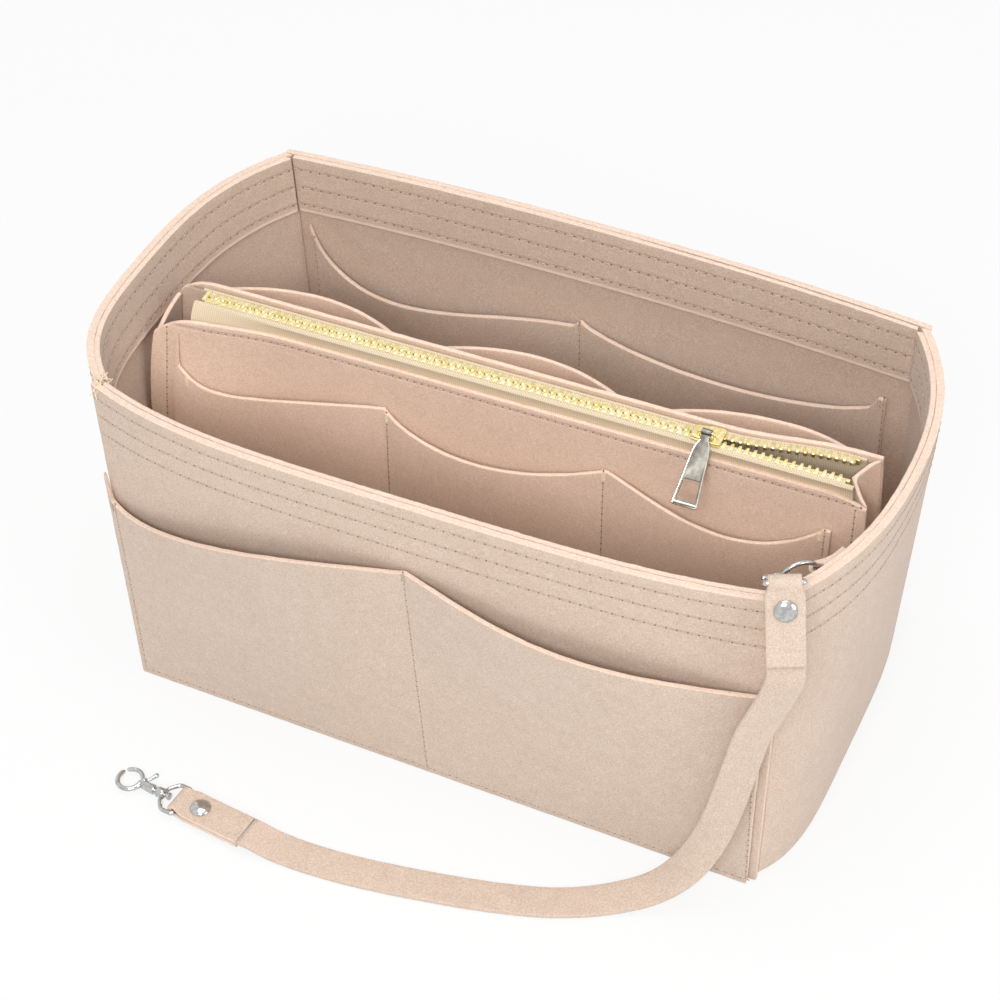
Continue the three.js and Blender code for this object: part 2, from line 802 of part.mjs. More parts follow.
// A tape lies inside the felt edge, rises beside the slider's path and turns in to its row
function zipperTape(side) {
  const feltFace = side < 0 ? pouchFrontInside : pouchBackInside;
  const half = tapeThickness / 2;
  const level = pouchFrontTop - layerGap;
  const center = (x, row) => {
    const knee = rowY(side, x) + side * tapeKnee;
    return [
      [feltFace(x, tapeBottom) - side * (layerGap + half), tapeBottom],
      [feltFace(x, level) - side * (layerGap + half), level],
      [knee, chainZ - half],
      [knee - side * half, chainZ],
      [rowY(side, x) + side * (beadHalf + tapeGap), chainZ],
    ][row];
  };
  const place = (depth) => (x, row) => {
    const [y, z] = center(x, row);
    const [aheadY, aheadZ] = center(x, Math.min(4, row + 1));
    const [behindY, behindZ] = center(x, Math.max(0, row - 1));
    const run = Math.hypot(aheadY - behindY, aheadZ - behindZ);
    const offset = depth * half;
    return [x, y + (offset * (aheadZ - behindZ)) / run, z - (offset * (aheadY - behindY)) / run];
  };
  return sheet(rowStations(tapeStart, tapeFinish), [0, 1, 2, 3, 4], place(1), place(-1));
}

function zipperStops() {
  const stop = (x, y, width) => new THREE.BoxGeometry(stopLength, width, stopHeight).translate(x, y, chainZ);
  const gap = layerGap + stopLength / 2;
  const right = chainEnd + gap;
  return [
    piece("zipper_bottom_stop", stop(chainStart - gap, chainY, 2 * (beadOffset + beadHalf)), goldMetal),
    piece("front_top_stop", stop(right, rowY(-1, right) + beadHalf, 3 * beadHalf), goldMetal),
    piece("back_top_stop", stop(right, rowY(1, right) - beadHalf, 3 * beadHalf), goldMetal),
  ];
}

function sliderGeometry() {
  const narrow = beadOffset + beadHalf + layerGap;
  const wide = narrow + rowSplit;
  const throat = -splitLead - layerGap;
  const outline = (margin, end) => [
    [-end, -narrow - margin],
    [throat, -narrow - margin],
    [throat + splitRun, -wide - margin],
    [end, -wide - margin],
    [end, wide + margin],
    [throat + splitRun, wide + margin],
    [throat, narrow + margin],
    [-end, narrow + margin],
  ];
  const channelHeight = toothHeight + 2 * layerGap;
  const body = solid(plate(outline(sliderWall, sliderHalfLength), channelHeight + 2 * plateThickness));
  const channel = solid(plate(outline(0, sliderHalfLength + plateThickness), channelHeight));
  const slot = box(3 * sliderHalfLength, 4 * wide, slotHeight, 0, 0, 0);
  const wedgeHalf = rowSplit - toothReach - layerGap;
  const wedge = solid(plate([
    [splitRun - splitLead - wedgeHalf * 2, 0],
    [splitRun - splitLead + wedgeHalf, -wedgeHalf],
    [sliderHalfLength - layerGap, -wedgeHalf],
    [sliderHalfLength - layerGap, wedgeHalf],
    [splitRun - splitLead + wedgeHalf, wedgeHalf],
  ], channelHeight + plateThickness));
  const top = channelHeight / 2 + plateThickness;
  const pivotZ = top + bridgeRise;
  const postWidth = 2 * bridgeRadius;
  const postHeight = bridgeRise + bridgeRadius + plateThickness / 2;
  const postZ = top - plateThickness / 2 + postHeight / 2;
  const posts = [-bridgeHalf, bridgeHalf].map((x) => box(postWidth, postWidth, postHeight, x, bridgeY, postZ));
  const pin = solid(bar(
    new THREE.Vector3(-bridgeHalf, bridgeY, pivotZ),
    new THREE.Vector3(bridgeHalf, bridgeY, pivotZ),
    bridgeRadius,
    bridgeRadius,
    10,
  ));
  return geometryOf(joined(body.subtract(channel).subtract(slot), wedge, ...posts, pin));
}

const sliderTop = toothHeight / 2 + layerGap + plateThickness;
const pullerPivot = new THREE.Vector3(sliderX, chainY + bridgeY, chainZ + sliderTop + bridgeRise);

function pullerGeometry() {
  const outline = [
    [-pullerNeckHalf, 0],
    [-pullerNeckHalf, -pullerNeckEnd],
    [-pullerShoulderHalf, -pullerShoulder],
    [-pullerFootHalf, -pullerLength],
    [pullerFootHalf, -pullerLength],
    [pullerShoulderHalf, -pullerShoulder],
    [pullerNeckHalf, -pullerNeckEnd],
    [pullerNeckHalf, 0],
  ];
  const window = [
    [-windowTopHalf, -windowTop],
    [-windowBottomHalf, -windowBottom],
    [windowBottomHalf, -windowBottom],
    [windowTopHalf, -windowTop],
  ];
  const across = (half, radius, sides) => solid(bar(
    new THREE.Vector3(-half, 0, 0),
    new THREE.Vector3(half, 0, 0),
    radius,
    radius,
    sides,
  ));
  const blade = solid(plate(outline, pullerThickness, [window]));
  const knuckle = across(knuckleHalf, knuckleRadius, 16);
  const bore = across(2 * knuckleHalf, knuckleBore, 12);
  return geometryOf(joined(blade, knuckle).subtract(bore));
}

function zipper() {
  const slider = piece("zipper_slider", sliderGeometry(), goldMetal);
  slider.position.set(sliderX, chainY, chainZ);
  const puller = piece("zipper_puller", pullerGeometry(), pullerMetal);
  puller.position.copy(pullerPivot);
  puller.rotation.x = THREE.MathUtils.degToRad(pullerDropDegrees);
  return [
    piece("front_zipper_tape", zipperTape(-1), tapeCloth),
    piece("back_zipper_tape", zipperTape(1), tapeCloth),
    piece("front_zipper_teeth", toothRow(-1), goldMetal),
    piece("back_zipper_teeth", toothRow(1), goldMetal),
    ...zipperStops(),
    slider,
    puller,
  ];
}

// A frame with X along one axis and Y as near as it can be to a second one
function axesFrom(xAxis, yHint, origin) {
  const x = xAxis.clone().normalize();
  const z = x.clone().cross(yHint).normalize();
  const y = z.clone().cross(x);
  return new THREE.Matrix4().makeBasis(x, y, z).setPosition(origin);
}

function placed(frame, meshes) {
  const group = new THREE.Group();
  frame.decompose(group.position, group.quaternion, group.scale);
  group.add(...meshes);
  return group;
}

// A felt end folded round a bar at the origin, its two layers running back along -X
function foldedTab() {
  const half = layerGap / 2;
  const outer = foldBore + tabFelt;
  const layer = half + tabFelt;
  const profile = [
    [-tabLength, half],
    [-2 * foldBore - outer / 2, half],
    ...arcPoints(foldBore, foldInnerDegrees, -foldInnerDegrees, 10),
    [-2 * foldBore - outer / 2, -half],
    [-tabLength, -half],
    [-tabLength, -layer],
    [-foldRun - tabFelt, -layer],
    ...arcPoints(outer, -foldOuterDegrees, foldOuterDegrees, 12),
    [-foldRun - tabFelt, layer],
    [-tabLength, layer],
  ];
  const geometry = plate(profile, strapWidth).rotateX(-Math.PI / 2);
  const { position } = geometry.attributes;
  for (let index = 0; index < position.count; index += 1) {
    const narrowing = eased((position.getX(index) + foldRun) / foldRun);
    position.setY(index, position.getY(index) * lerp(1, foldNarrowShare, narrowing));
  }
  const reach = 2 * layer;
  const hole = solid(bar(
    new THREE.Vector3(rivetX, 0, -reach),
    new THREE.Vector3(rivetX, 0, reach),
    rivetShaft + layerGap,
    rivetShaft + layerGap,
    14,
  ));
  return geometryOf(solid(geometry).subtract(hole));
}

function rivetGeometry() {
  const face = tabHalfHeight - rivetDome;
  const dome = arcPoints(1, 90, 0, 4);
  const profile = [
    ...dome.map(([side, up]) => new THREE.Vector2(rivetHead * side, face + rivetDome * up)),
    new THREE.Vector2(rivetShaft, face),
    new THREE.Vector2(rivetShaft, -face),
    ...dome.reverse().map(([side, up]) => new THREE.Vector2(rivetHead * side, -face - rivetDome * up)),
  ];
  profile[0].x = 0;
  profile.at(-1).x = 0;
  const geometry = new THREE.LatheGeometry(profile.reverse(), 14);
  return geometryOf(solid(geometry.rotateX(Math.PI / 2).translate(rivetX, 0, 0)));
}

// A wire ring of the given radius about the origin, between two angles, as a chain of bars
function wireArc(radius, wire, start, end, steps, sides) {
  const center = arcPoints(radius, start, end, steps).map(([x, y]) => new THREE.Vector3(x, y, 0));
  const curve = new THREE.CatmullRomCurve3(center, false, "centripetal");
  const rim = arcPoints(wire, 0, 360, sides).slice(0, -1);
  const section = new THREE.Shape(rim.map(([x, y]) => new THREE.Vector2(x, y)));
  return new THREE.ExtrudeGeometry(section, { steps, bevelEnabled: false, extrudePath: curve });
}

function loopGeometry() {
  const shoulder = loopDepth * loopShoulderShare;
  const top = loopHalfWidth * loopTopShare;
  const corners = [
    [0, -loopHalfWidth],
    [shoulder, -loopHalfWidth],
    [loopDepth, -top],
    [loopDepth, top],
    [shoulder, loopHalfWidth],
    [0, loopHalfWidth],
  ].map(([x, y]) => new THREE.Vector3(x, y, 0));
  const rods = corners.map((corner, index) => {
    const next = corners[(index + 1) % corners.length];
    return solid(bar(corner, next, wireRadius, wireRadius, 8));
  });
  const balls = corners.map((corner) => {
    return solid(new THREE.SphereGeometry(wireRadius, 8, 4).translate(corner.x, corner.y, corner.z));
  });
  const along = (start, length, radius) => solid(bar(
    new THREE.Vector3(start, 0, 0),
    new THREE.Vector3(start + length, 0, 0),
    radius,
    radius,
    16,
  ));
  const collarStart = loopDepth + wireRadius - layerGap;
  const collar = along(collarStart - wireRadius, collarLength + wireRadius, collarRadius);
  const bore = along(collarStart - 2 * wireRadius, 2 * collarLength + wireRadius, postRadius + layerGap);
  return geometryOf(joined(rods[0], ...rods.slice(1), ...balls, collar).subtract(bore));
}

const pivot = new THREE.Vector3(pivotX, pivotY, 0);

// A disc about the trigger's pin, through the clasp's thickness
function pivotDisc(radius, halfHeight, sides) {
  const start = pivot.clone().setZ(-halfHeight);
  return solid(bar(start, pivot.clone().setZ(halfHeight), radius, radius, sides));
}

function hookGeometry() {
  const along = (start, end, startRadius, endRadius) => solid(bar(
    new THREE.Vector3(start, 0, 0),
    new THREE.Vector3(end, 0, 0),
    startRadius,
    endRadius,
    16,
  ));
  const headStart = loopDepth - 2 * wireRadius - layerGap - wireRadius;
  const headRadius = postHeadShare * postRadius;
  const head = along(headStart, headStart + wireRadius, headRadius, headRadius);
  const post = along(headStart, bodyStart + wireRadius, postRadius, postRadius);
  const body = along(bodyStart, bodyStart + bodyLength, bodyRadius, bodyTipRadius);
  const wire = wireArc(ringRadius, ringWire, hookStartDegrees, hookEndDegrees, 16, 8);
  const ring = solid(wire.translate(ringX, 0, 0));
  const swing = pivotDisc(gateReach + gateGap, forkHalf * 2, 40);
  const side = box(2 * ringX, ringX, 4 * forkHalf, ringX, ringX / 2 + bodyTipRadius / 2, 0);
  const open = swing.intersect(side);
  const cheeks = pivotDisc(gateEye, forkHalf, 14);
  const slit = pivotDisc(gateEye + slitGap, gateHalf + gateGap, 20);
  const pin = pivotDisc(pinRadius, forkHalf, 10);
  const bare = joined(head, post, body, ring.subtract(open), cheeks);
  return geometryOf(bare.subtract(slit).add(pin));
}

function triggerGeometry() {
  const wire = wireArc(ringRadius, ringWire, gateStartDegrees, gateEndDegrees, 8, 8);
  const arc = solid(wire.translate(ringX, 0, 0));
  const gate = arc.intersect(pivotDisc(gateReach, forkHalf * 2, 40));
  const eye = pivotDisc(gateEye, gateHalf, 14);
  const thumbTip = new THREE.Vector3(pivotX + thumbX, pivotY + thumbY, 0);
  const leverTip = thumbRadius * leverTipShare;
  const lever = solid(bar(pivot.clone().setY(pivotY + gateEye / 2), thumbTip, gateHalf, leverTip, 8));
  const knob = solid(new THREE.SphereGeometry(thumbRadius, 10, 8).translate(thumbTip.x, thumbTip.y, 0));
  const gateRoot = arcPoints(ringRadius, gateEndDegrees, gateEndDegrees, 1)[0];
  const link = solid(bar(
    pivot,
    new THREE.Vector3(ringX + gateRoot[0], gateRoot[1], 0),
    gateHalf,
    gateHalf,
    8,
  ));
  const bore = pivotDisc(pinBore, forkHalf * 2, 12);
  return geometryOf(joined(gate, eye, lever, knob, link).subtract(bore));
}

function claspFrame(fold, aim, barAxis) {
  const side = barAxis.clone().normalize();
  const axis = aim.clone().addScaledVector(side, -aim.dot(side));
  return axesFrom(axis, side, fold);
}

// Upper end: the fold hangs outside the front right corner, its clasp reaches back over the rim
const upperFold = new THREE.Vector3(
  halfLengthAtRim - upperFoldInset,
  -halfDepthAtRim - upperFoldProud,
  caseHeight + upperFoldRise,
);
const upperWidth = vector(upperTabWidth).normalize();
const upperTabFrame = axesFrom(vector(upperTabDown).negate(), upperWidth.clone().negate(), upperFold);
const upperBarAxis = new THREE.Vector3().setFromMatrixColumn(upperTabFrame, 1).negate();
const upperLoopFrame = claspFrame(upperFold, vector(upperClaspAim), upperBarAxis);
const upperAxis = new THREE.Vector3().setFromMatrixColumn(upperLoopFrame, 0);
const upperHookNormal = new THREE.Vector3(0, 0, 1).addScaledVector(upperAxis, -upperAxis.z).normalize();
const upperHookFrame = axesFrom(upperAxis, upperHookNormal.clone().cross(upperAxis), upperFold);

const tabHalfHeight = layerGap / 2 + tabFelt + layerGap + rivetDome;
const lowerFold = new THREE.Vector3(lowerFoldX, lowerFoldY, tabHalfHeight + lowerFoldLift);
const lowerBack = vector(lowerTabBack);
const lowerBarAxis = new THREE.Vector3(0, 0, 1).cross(lowerBack).normalize();
const lowerTabFrame = axesFrom(lowerBack.clone().negate(), lowerBarAxis.clone().negate(), lowerFold);
const lowerLoopFrame = claspFrame(lowerFold, vector(lowerClaspAim), lowerBarAxis);

function clasp(prefix, tabFrame, loopFrame, hookFrame) {
  return [
    placed(tabFrame, [
      piece(`${prefix}_strap_tab`, foldedTab(), caseFelt),
      piece(`${prefix}_rivet`, rivetGeometry(), chromeMetal),
    ]),
    placed(loopFrame, [piece(`${prefix}_clasp_loop`, loopGeometry(), chromeMetal)]),
    placed(hookFrame, [
      piece(`${prefix}_clasp_hook`, hookGeometry(), chromeMetal),
      piece(`${prefix}_clasp_trigger`, triggerGeometry(), chromeMetal),
    ]),
  ];
}

// A curve whose cross direction is given along it, so that a flat strip twists as wanted
class FacedCurve extends THREE.CatmullRomCurve3 {
  constructor(points, facing) {
    super(points, false, "centripetal");
    this.facing = new THREE.CatmullRomCurve3(facing, false, "centripetal");
  }

  computeFrenetFrames(segments) {
    const frames = { tangents: [], normals: [], binormals: [] };
    for (let step = 0; step <= segments; step += 1) {
      const share = this.getUtoTmapping(step / segments);
      const tangent = this.getTangent(share);
      const facing = this.facing.getPoint(share);
      const normal = facing.addScaledVector(tangent, -facing.dot(tangent)).normalize();
      frames.tangents.push(tangent);
      frames.normals.push(normal);
      frames.binormals.push(tangent.clone().cross(normal));
    }
    return frames;
  }
}

function strapGeometry() {
  const layerZ = (layerGap + tabFelt) / 2;
  const start = [strapGap, strapLead].map((past) => new THREE.Vector3(-tabLength - past, 0, -layerZ));
  const finish = [strapLead, strapGap].map((past) => new THREE.Vector3(-tabLength - past, 0, layerZ));
  const points = [
    ...start.map((point) => point.applyMatrix4(upperTabFrame)),
    ...strapRoute.map(vector),
    ...finish.map((point) => point.applyMatrix4(lowerTabFrame)),
  ];
  const upperFacing = new THREE.Vector3().setFromMatrixColumn(upperTabFrame, 2);
  const lowerFacing = new THREE.Vector3().setFromMatrixColumn(lowerTabFrame, 2);
  const facing = [upperFacing, upperFacing, ...strapFacing.map(vector), lowerFacing, lowerFacing];
  const half = strapWidth / 2;
  const thin = strapThickness / 2;
  const edge = thin / 2;
  const section = new THREE.Shape([
    [-thin, -half + edge],
    [-edge, -half],
    [edge, -half],
    [thin, -half + edge],
    [thin, half - edge],
    [edge, half],
    [-edge, half],
    [-thin, half - edge],
  ].map(([x, y]) => new THREE.Vector2(x, y)));
  const geometry = new THREE.ExtrudeGeometry(section, {
    steps: 44,
    bevelEnabled: false,
    extrudePath: new FacedCurve(points, facing),
  });
  return geometryOf(solid(geometry));
}

// Anchor ring through the upper hook, held by a felt tab on the right end's band
const anchorY = anchorInset - halfDepthAtRim;
const hemFaceX = (y, z) => endInsideX(1, y, z, feltThickness + hemGap + hemThickness);

function anchorPieces() {
  const through = new THREE.Vector3(ringX + anchorWire, 0, 0).applyMatrix4(upperHookFrame);
  const standOff = anchorBore + anchorFelt + 2 * layerGap;
  const level = through.z;
  const wallX = hemFaceX(anchorY, level);
  const wallSlant = slant((at) => hemFaceX(at, level), anchorY);
  const tunnel = new THREE.Vector3(wallX - standOff * wallSlant, anchorY, level);
  const flat = tunnel.clone().sub(through).setZ(0);
  const riseAngle = Math.asin(anchorRiseShare);
  const radius = flat.length() / (1 + Math.cos(riseAngle));
  tunnel.z = through.z - radius * anchorRiseShare;
  const inward = flat.normalize();
  const ringCenter = tunnel.clone().addScaledVector(inward, -radius);
  const ringFrame = axesFrom(inward, new THREE.Vector3(0, 0, 1), ringCenter);
  const ring = geometryOf(solid(new THREE.TorusGeometry(radius, anchorWire, 8, 22)));
  const farY = anchorY + anchorTabLength;
  const far = new THREE.Vector3(hemFaceX(farY, tunnel.z), farY, tunnel.z);
  far.x -= standOff * slant((at) => hemFaceX(at, level), farY);
  const tabFrame = axesFrom(tunnel.clone().sub(far), new THREE.Vector3(0, 0, 1), tunnel);
  const outer = anchorBore + anchorFelt;
  const hole = arcPoints(anchorBore, 180, -180, 14).slice(0, -1);
  const [[, tail], [neck, neckY], [throat, throatY]] = anchorTailShares;
  const outline = [
    ...arcPoints(outer, -90, 90, 8),
    [-anchorTabLength, outer],
    [-anchorTabLength, outer * tail],
    [-outer * neck, outer * neckY],
    [-outer * throat, outer * throatY],
  ];
  const tab = plate(outline, anchorTabHeight, [hole]).rotateX(-Math.PI / 2);
  return [
    placed(ringFrame, [piece("anchor_ring", ring, chromeMetal)]),
    placed(tabFrame, [piece("anchor_tab", geometryOf(solid(tab)), caseFelt)]),
  ];
}

const organizer = new THREE.Group();
organizer.add(...caseWalls(), ...hemBands(), ...casePockets(), ...anchorPieces());
organizer.add(piece("strap", strapGeometry(), caseFelt));
organizer.add(...clasp("upper", upperTabFrame, upperLoopFrame, upperHookFrame));
organizer.add(...clasp("lower", lowerTabFrame, lowerLoopFrame, lowerLoopFrame));

const pouch = new THREE.Group();
pouch.rotation.z = pouchTurnShare;
pouch.add(...pouchWalls(), ...pouchPockets(), ...zipper());
organizer.add(pouch);

export default organizer;
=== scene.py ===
# %% [markdown]
# # A felt handbag organizer
# The object is an open case of thick pressed felt with pockets outside and inside, a zipped felt
# pouch that stands in it, and a flat felt key strap with a swivel clasp at each end.
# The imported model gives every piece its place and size. This file dresses those pieces: the felt
# gets rounded edges, a fibre surface and real stitches, and the metal gets round wire and plates.

import math

import bmesh
import bpy
import numpy as np
from mathutils import Matrix, Vector, noise
from mathutils.bvhtree import BVHTree


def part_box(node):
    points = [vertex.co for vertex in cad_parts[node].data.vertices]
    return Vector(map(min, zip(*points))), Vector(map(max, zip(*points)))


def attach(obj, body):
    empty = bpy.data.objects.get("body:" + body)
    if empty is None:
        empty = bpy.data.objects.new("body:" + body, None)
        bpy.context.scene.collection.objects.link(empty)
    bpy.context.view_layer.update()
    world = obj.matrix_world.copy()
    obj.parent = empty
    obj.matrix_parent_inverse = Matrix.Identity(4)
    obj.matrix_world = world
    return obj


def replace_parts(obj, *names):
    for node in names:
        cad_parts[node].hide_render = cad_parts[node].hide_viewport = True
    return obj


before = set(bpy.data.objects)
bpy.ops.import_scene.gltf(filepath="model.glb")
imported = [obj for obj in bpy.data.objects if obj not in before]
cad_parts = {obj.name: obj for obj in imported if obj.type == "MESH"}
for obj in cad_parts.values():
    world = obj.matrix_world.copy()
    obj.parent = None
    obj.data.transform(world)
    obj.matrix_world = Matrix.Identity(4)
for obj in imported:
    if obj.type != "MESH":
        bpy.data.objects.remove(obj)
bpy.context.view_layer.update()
mm = 0.001

# %% [markdown]
# ## The camera
# The photograph looks down at about 45 degrees from the front right, with a long lens, and leans
# over by two degrees. A camera's matrix has its own right, up and backward directions as columns,
# so these three vectors say where it looks without any target object.

# %% Camera
def linked(name, data):
    """A new object in the scene that holds the data."""
    made = bpy.data.objects.new(name, data)
    bpy.context.scene.collection.objects.link(made)
    return made


def photograph_camera(position, azimuth, elevation, roll, lens):
    a, e, r = (math.radians(angle) for angle in (azimuth, elevation, roll))
    back = Vector((math.sin(a) * math.cos(e), -math.cos(a) * math.cos(e), math.sin(e)))
    right = Vector((math.cos(a), math.sin(a), 0))
    up = back.cross(right)
    across = math.cos(r) * right + math.sin(r) * up
    upward = math.cos(r) * up - math.sin(r) * right
    data = bpy.data.cameras.new("photograph")
    data.lens, data.sensor_width = lens, 36
    data.clip_start, data.clip_end = 0.05, 10
    camera = linked("photograph", data)
    turn = Matrix((across, upward, back)).transposed().to_4x4()
    camera.matrix_world = Matrix.Translation(position) @ turn
    bpy.context.scene.camera = camera
    print("camera distance in mm:", round(position.length / mm))


photograph_camera(Vector((353.445, -726.076, 899.346)) * mm, azimuth=26.52, elevation=45.13,
                  roll=-2.05, lens=93.54)

# %% [markdown]
# ## Node graphs from Python
# Materials and Geometry Nodes are both graphs of nodes. A small class wraps one output socket, so
# that ordinary sums in Python add the Math nodes, and one method makes every other kind of node.

# %% Sockets as numbers
class Wire:
    """An output socket that can be used in sums."""

    def __init__(self, graph, socket):
        self.graph, self.socket = graph, socket

    def sum(self, operation, *terms):
        return self.graph.make("ShaderNodeMath", {"operation": operation}, dict(enumerate(terms)))

    def __add__(self, other):
        return self.sum("ADD", self, other)

    def __sub__(self, other):
        return self.sum("SUBTRACT", self, other)

    def __rsub__(self, other):
        return self.sum("SUBTRACT", other, self)

    def __mul__(self, other):
        return self.sum("MULTIPLY", self, other)

    def __abs__(self):
        return self.sum("ABSOLUTE", self)

    __radd__ = __add__
    __rmul__ = __mul__

    def step(self, low, high):
        """0 below low, 1 above high and a smooth change between."""
        values = {"Value": self, "From Min": low, "From Max": high}
        return self.graph.make("ShaderNodeMapRange", {"interpolation_type": "SMOOTHSTEP"}, values)


class Graph:
    """A node tree, filled from Python."""

    def __init__(self, tree):
        self.tree = tree

    def make(self, kind, settings=None, values=None, out=0):
        node = self.tree.nodes.new(kind)
        for name, value in (settings or {}).items():
            setattr(node, name, value)
        for name, value in (values or {}).items():
            if isinstance(value, Wire):
                self.tree.links.new(value.socket, node.inputs[name])
            else:
                node.inputs[name].default_value = value
        return Wire(self, node.outputs[out]) if node.outputs else None

    def mix(self, share, first, second):
        return self.make("ShaderNodeMix", {"data_type": "RGBA"}, {0: share, 6: first, 7: second}, 2)
    def asked(self, name):
        """The tree's own input of that name."""
        return self.make("NodeGroupInput", out=name)

    def coordinates(self):
        return self.make("ShaderNodeTexCoord", out="Object")

    def clouds(self, place, scale, detail, distortion=0.0):
        values = {"Vector": place, "Scale": scale, "Detail": detail, "Distortion": distortion}
        return self.make("ShaderNodeTexNoise", None, values)

    def attribute(self, name):
        return self.make("ShaderNodeAttribute", {"attribute_name": name}, out="Fac")

    def bump(self, strength, distance, height):
        values = {"Strength": strength, "Distance": distance, "Height": height}
        return self.make("ShaderNodeBump", None, values)


def paint(code):
    """A colour written as six hexadecimal digits, as the linear values that nodes use."""
    parts = [int(code[at:at + 2], 16) / 255 for at in (0, 2, 4)]
    return (*[c / 12.92 if c <= 0.04045 else ((c + 0.055) / 1.055) ** 2.4 for c in parts], 1)


def emptied(holder):
    """The graph of a new material or world, without the nodes that it starts with."""
    holder.use_nodes = True
    holder.node_tree.nodes.clear()
    return Graph(holder.node_tree)


def finish_with(name, values, pattern):
    """A material of one Principled shader; pattern(graph) adds the inputs that vary."""
    material = bpy.data.materials.new(name)
    graph = emptied(material)
    shader = graph.make("ShaderNodeBsdfPrincipled", None, {**values, **pattern(graph)})
    graph.make("ShaderNodeOutputMaterial", None, {"Surface": shader})
    return material


# %% [markdown]
# ## Felt
# Pressed felt has no weave. Its fibres lie in all directions, so the surface shows a fine speckle,
# soft cloudy patches and a few stray fibres that catch the light. The cut edge of the sheet is
# paler and rougher than its face. An attribute on the mesh, called cut, says where that edge is.
# Thin lines come from the middle level of a noise, which winds about as a fibre does. A row of
# stitches pulls the felt in, which leaves a soft furrow along it, and the shade in that furrow is
# painted into the colour as a slightly darker line. The rows run level round the rim, so a furrow
# is a narrow dip at a given height. The band inside the rim ends in a pale lip, which is a given
# height too. Walls, band and pouch have felts of their own, because their rows differ.

# %% Felt materials
def felt(name, dark, light, edge, rows, lip=0):
    """Two tones for the face, two for its cut edge, and the heights of rows and lip in mm."""
    def pattern(graph):
        place = graph.coordinates()
        height = graph.make("ShaderNodeSeparateXYZ", None, {"Vector": place}, "Z")
        furrow = sum(1 - abs(height - row * mm).step(0.0002, 0.0013) for row in rows)
        hem = 1 - (height - lip * mm).step(0.0008, 0.0028) if lip else 0.0
        speckle, patches = graph.clouds(place, 1500, 2), graph.clouds(place, 170, 3)
        drift, winding = graph.clouds(place, 22, 2), graph.clouds(place, 420, 1, 1.6)
        fibre = 1 - abs(winding - 0.5).step(0.0, 0.03)
        share = (speckle * 1.0 + patches * 0.2 + drift * 0.1 + fibre * 0.12 - 0.17).step(0.2, 0.85)
        face = graph.mix(share, paint(dark), paint(light))
        rough = (speckle * 0.5 + graph.clouds(place, 800, 1) * 0.5).step(0.3, 0.75)
        rim = graph.mix(rough, paint(edge[0]), paint(edge[1]))
        sides = graph.mix(hem * 0.9, face, paint(lip_tone))
        worn = graph.mix(graph.attribute("cut") * 0.85, sides, rim)
        nap = speckle * 0.45 + graph.clouds(place, 560, 3) * 0.6 + fibre * 0.25 - furrow * 1.1
        # Painted shade: the colour darkens a little along each stitch furrow, where shade falls in the
        # groove.
        colour = graph.mix(furrow * 0.12, worn, paint(furrow_shade))
        return {"Base Color": colour, "Normal": graph.bump(0.6, 0.0004, nap)}

    values = {"Roughness": 0.95, "Sheen Weight": 0.22, "Sheen Roughness": 0.5, "Specular IOR Level": 0.2}
    return finish_with(name, values, pattern)


# The first colour is the painted shade along the stitch furrows, the second the pale lip of the band.
furrow_shade, lip_tone = "93765F", "F6E0D0"
rim_rows, pouch_rows, band_bottom = [167.5, 157.5, 147.5], [153.8, 158.5], 143
case_tones = "C2AA97", "E0CCBC", ("E3C7B2", "F3DDCD")
case_felt = felt("case_felt", *case_tones, rim_rows)
band_felt = felt("band_felt", *case_tones, rim_rows, band_bottom)
strap_felt = felt("strap_felt", "C0AA98", "DECBBC", case_tones[2], [])
pouch_tones = "DABDA7", "F4DAC8", ("E8C9B2", "F7DECC")
pouch_felt = felt("pouch_felt", *pouch_tones, [])
pouch_front_felt = felt("pouch_front_felt", *pouch_tones, pouch_rows[:1])
pouch_back_felt = felt("pouch_back_felt", *pouch_tones, pouch_rows[1:])


# %% [markdown]
# ## Thread, tape and metal
# Sewing thread has a fine grain. An attribute marks a flat spot beside each stitch, which is
# coloured dark as painted shade for the needle holes. Zipper tape is woven, which shows as two sets
# of crossing ribs. The plated metal parts are smooth, so their look comes from roughness that
# changes a little and from what they reflect.

# %% Thread, tape and metal materials
def spun(dark, light):
    def pattern(graph):
        grain = graph.clouds(graph.coordinates(), 1400, 2)
        strand = graph.mix(grain.step(0.3, 0.7), paint(dark), paint(light))
        # Painted shade: the flat spot beside each stitch takes a dark colour in place of the shade inside
        # the needle holes.
        colour = graph.mix(graph.attribute("hole"), strand, paint("7A6352"))
        return {"Base Color": colour, "Normal": graph.bump(0.5, 0.0002, grain)}

    return pattern


def tape_pattern(graph):
    place = graph.coordinates()

    def ribs(direction, scale, distortion):
        values = {"Vector": place, "Scale": scale, "Distortion": distortion}
        return graph.make("ShaderNodeTexWave", {"bands_direction": direction}, values)

    weave = ribs("DIAGONAL", 420, 0.6) * 0.5 + ribs("X", 330, 0.4) * 0.5
    colour = graph.mix(weave.step(0.1, 0.9), paint("CDB998"), paint("E4D5BB"))
    return {"Base Color": colour, "Normal": graph.bump(0.6, 0.0002, weave)}


def metal(name, dark, light, low, high):
    """Plated metal between two tones, with a roughness that varies from low to high."""
    def pattern(graph):
        smear = graph.clouds(graph.coordinates(), 500, 3)
        colour = graph.mix(smear.step(0.35, 0.7), paint(dark), paint(light))
        return {"Base Color": colour, "Roughness": smear * (high - low) + low}

    return finish_with(name, {"Metallic": 1.0}, pattern)


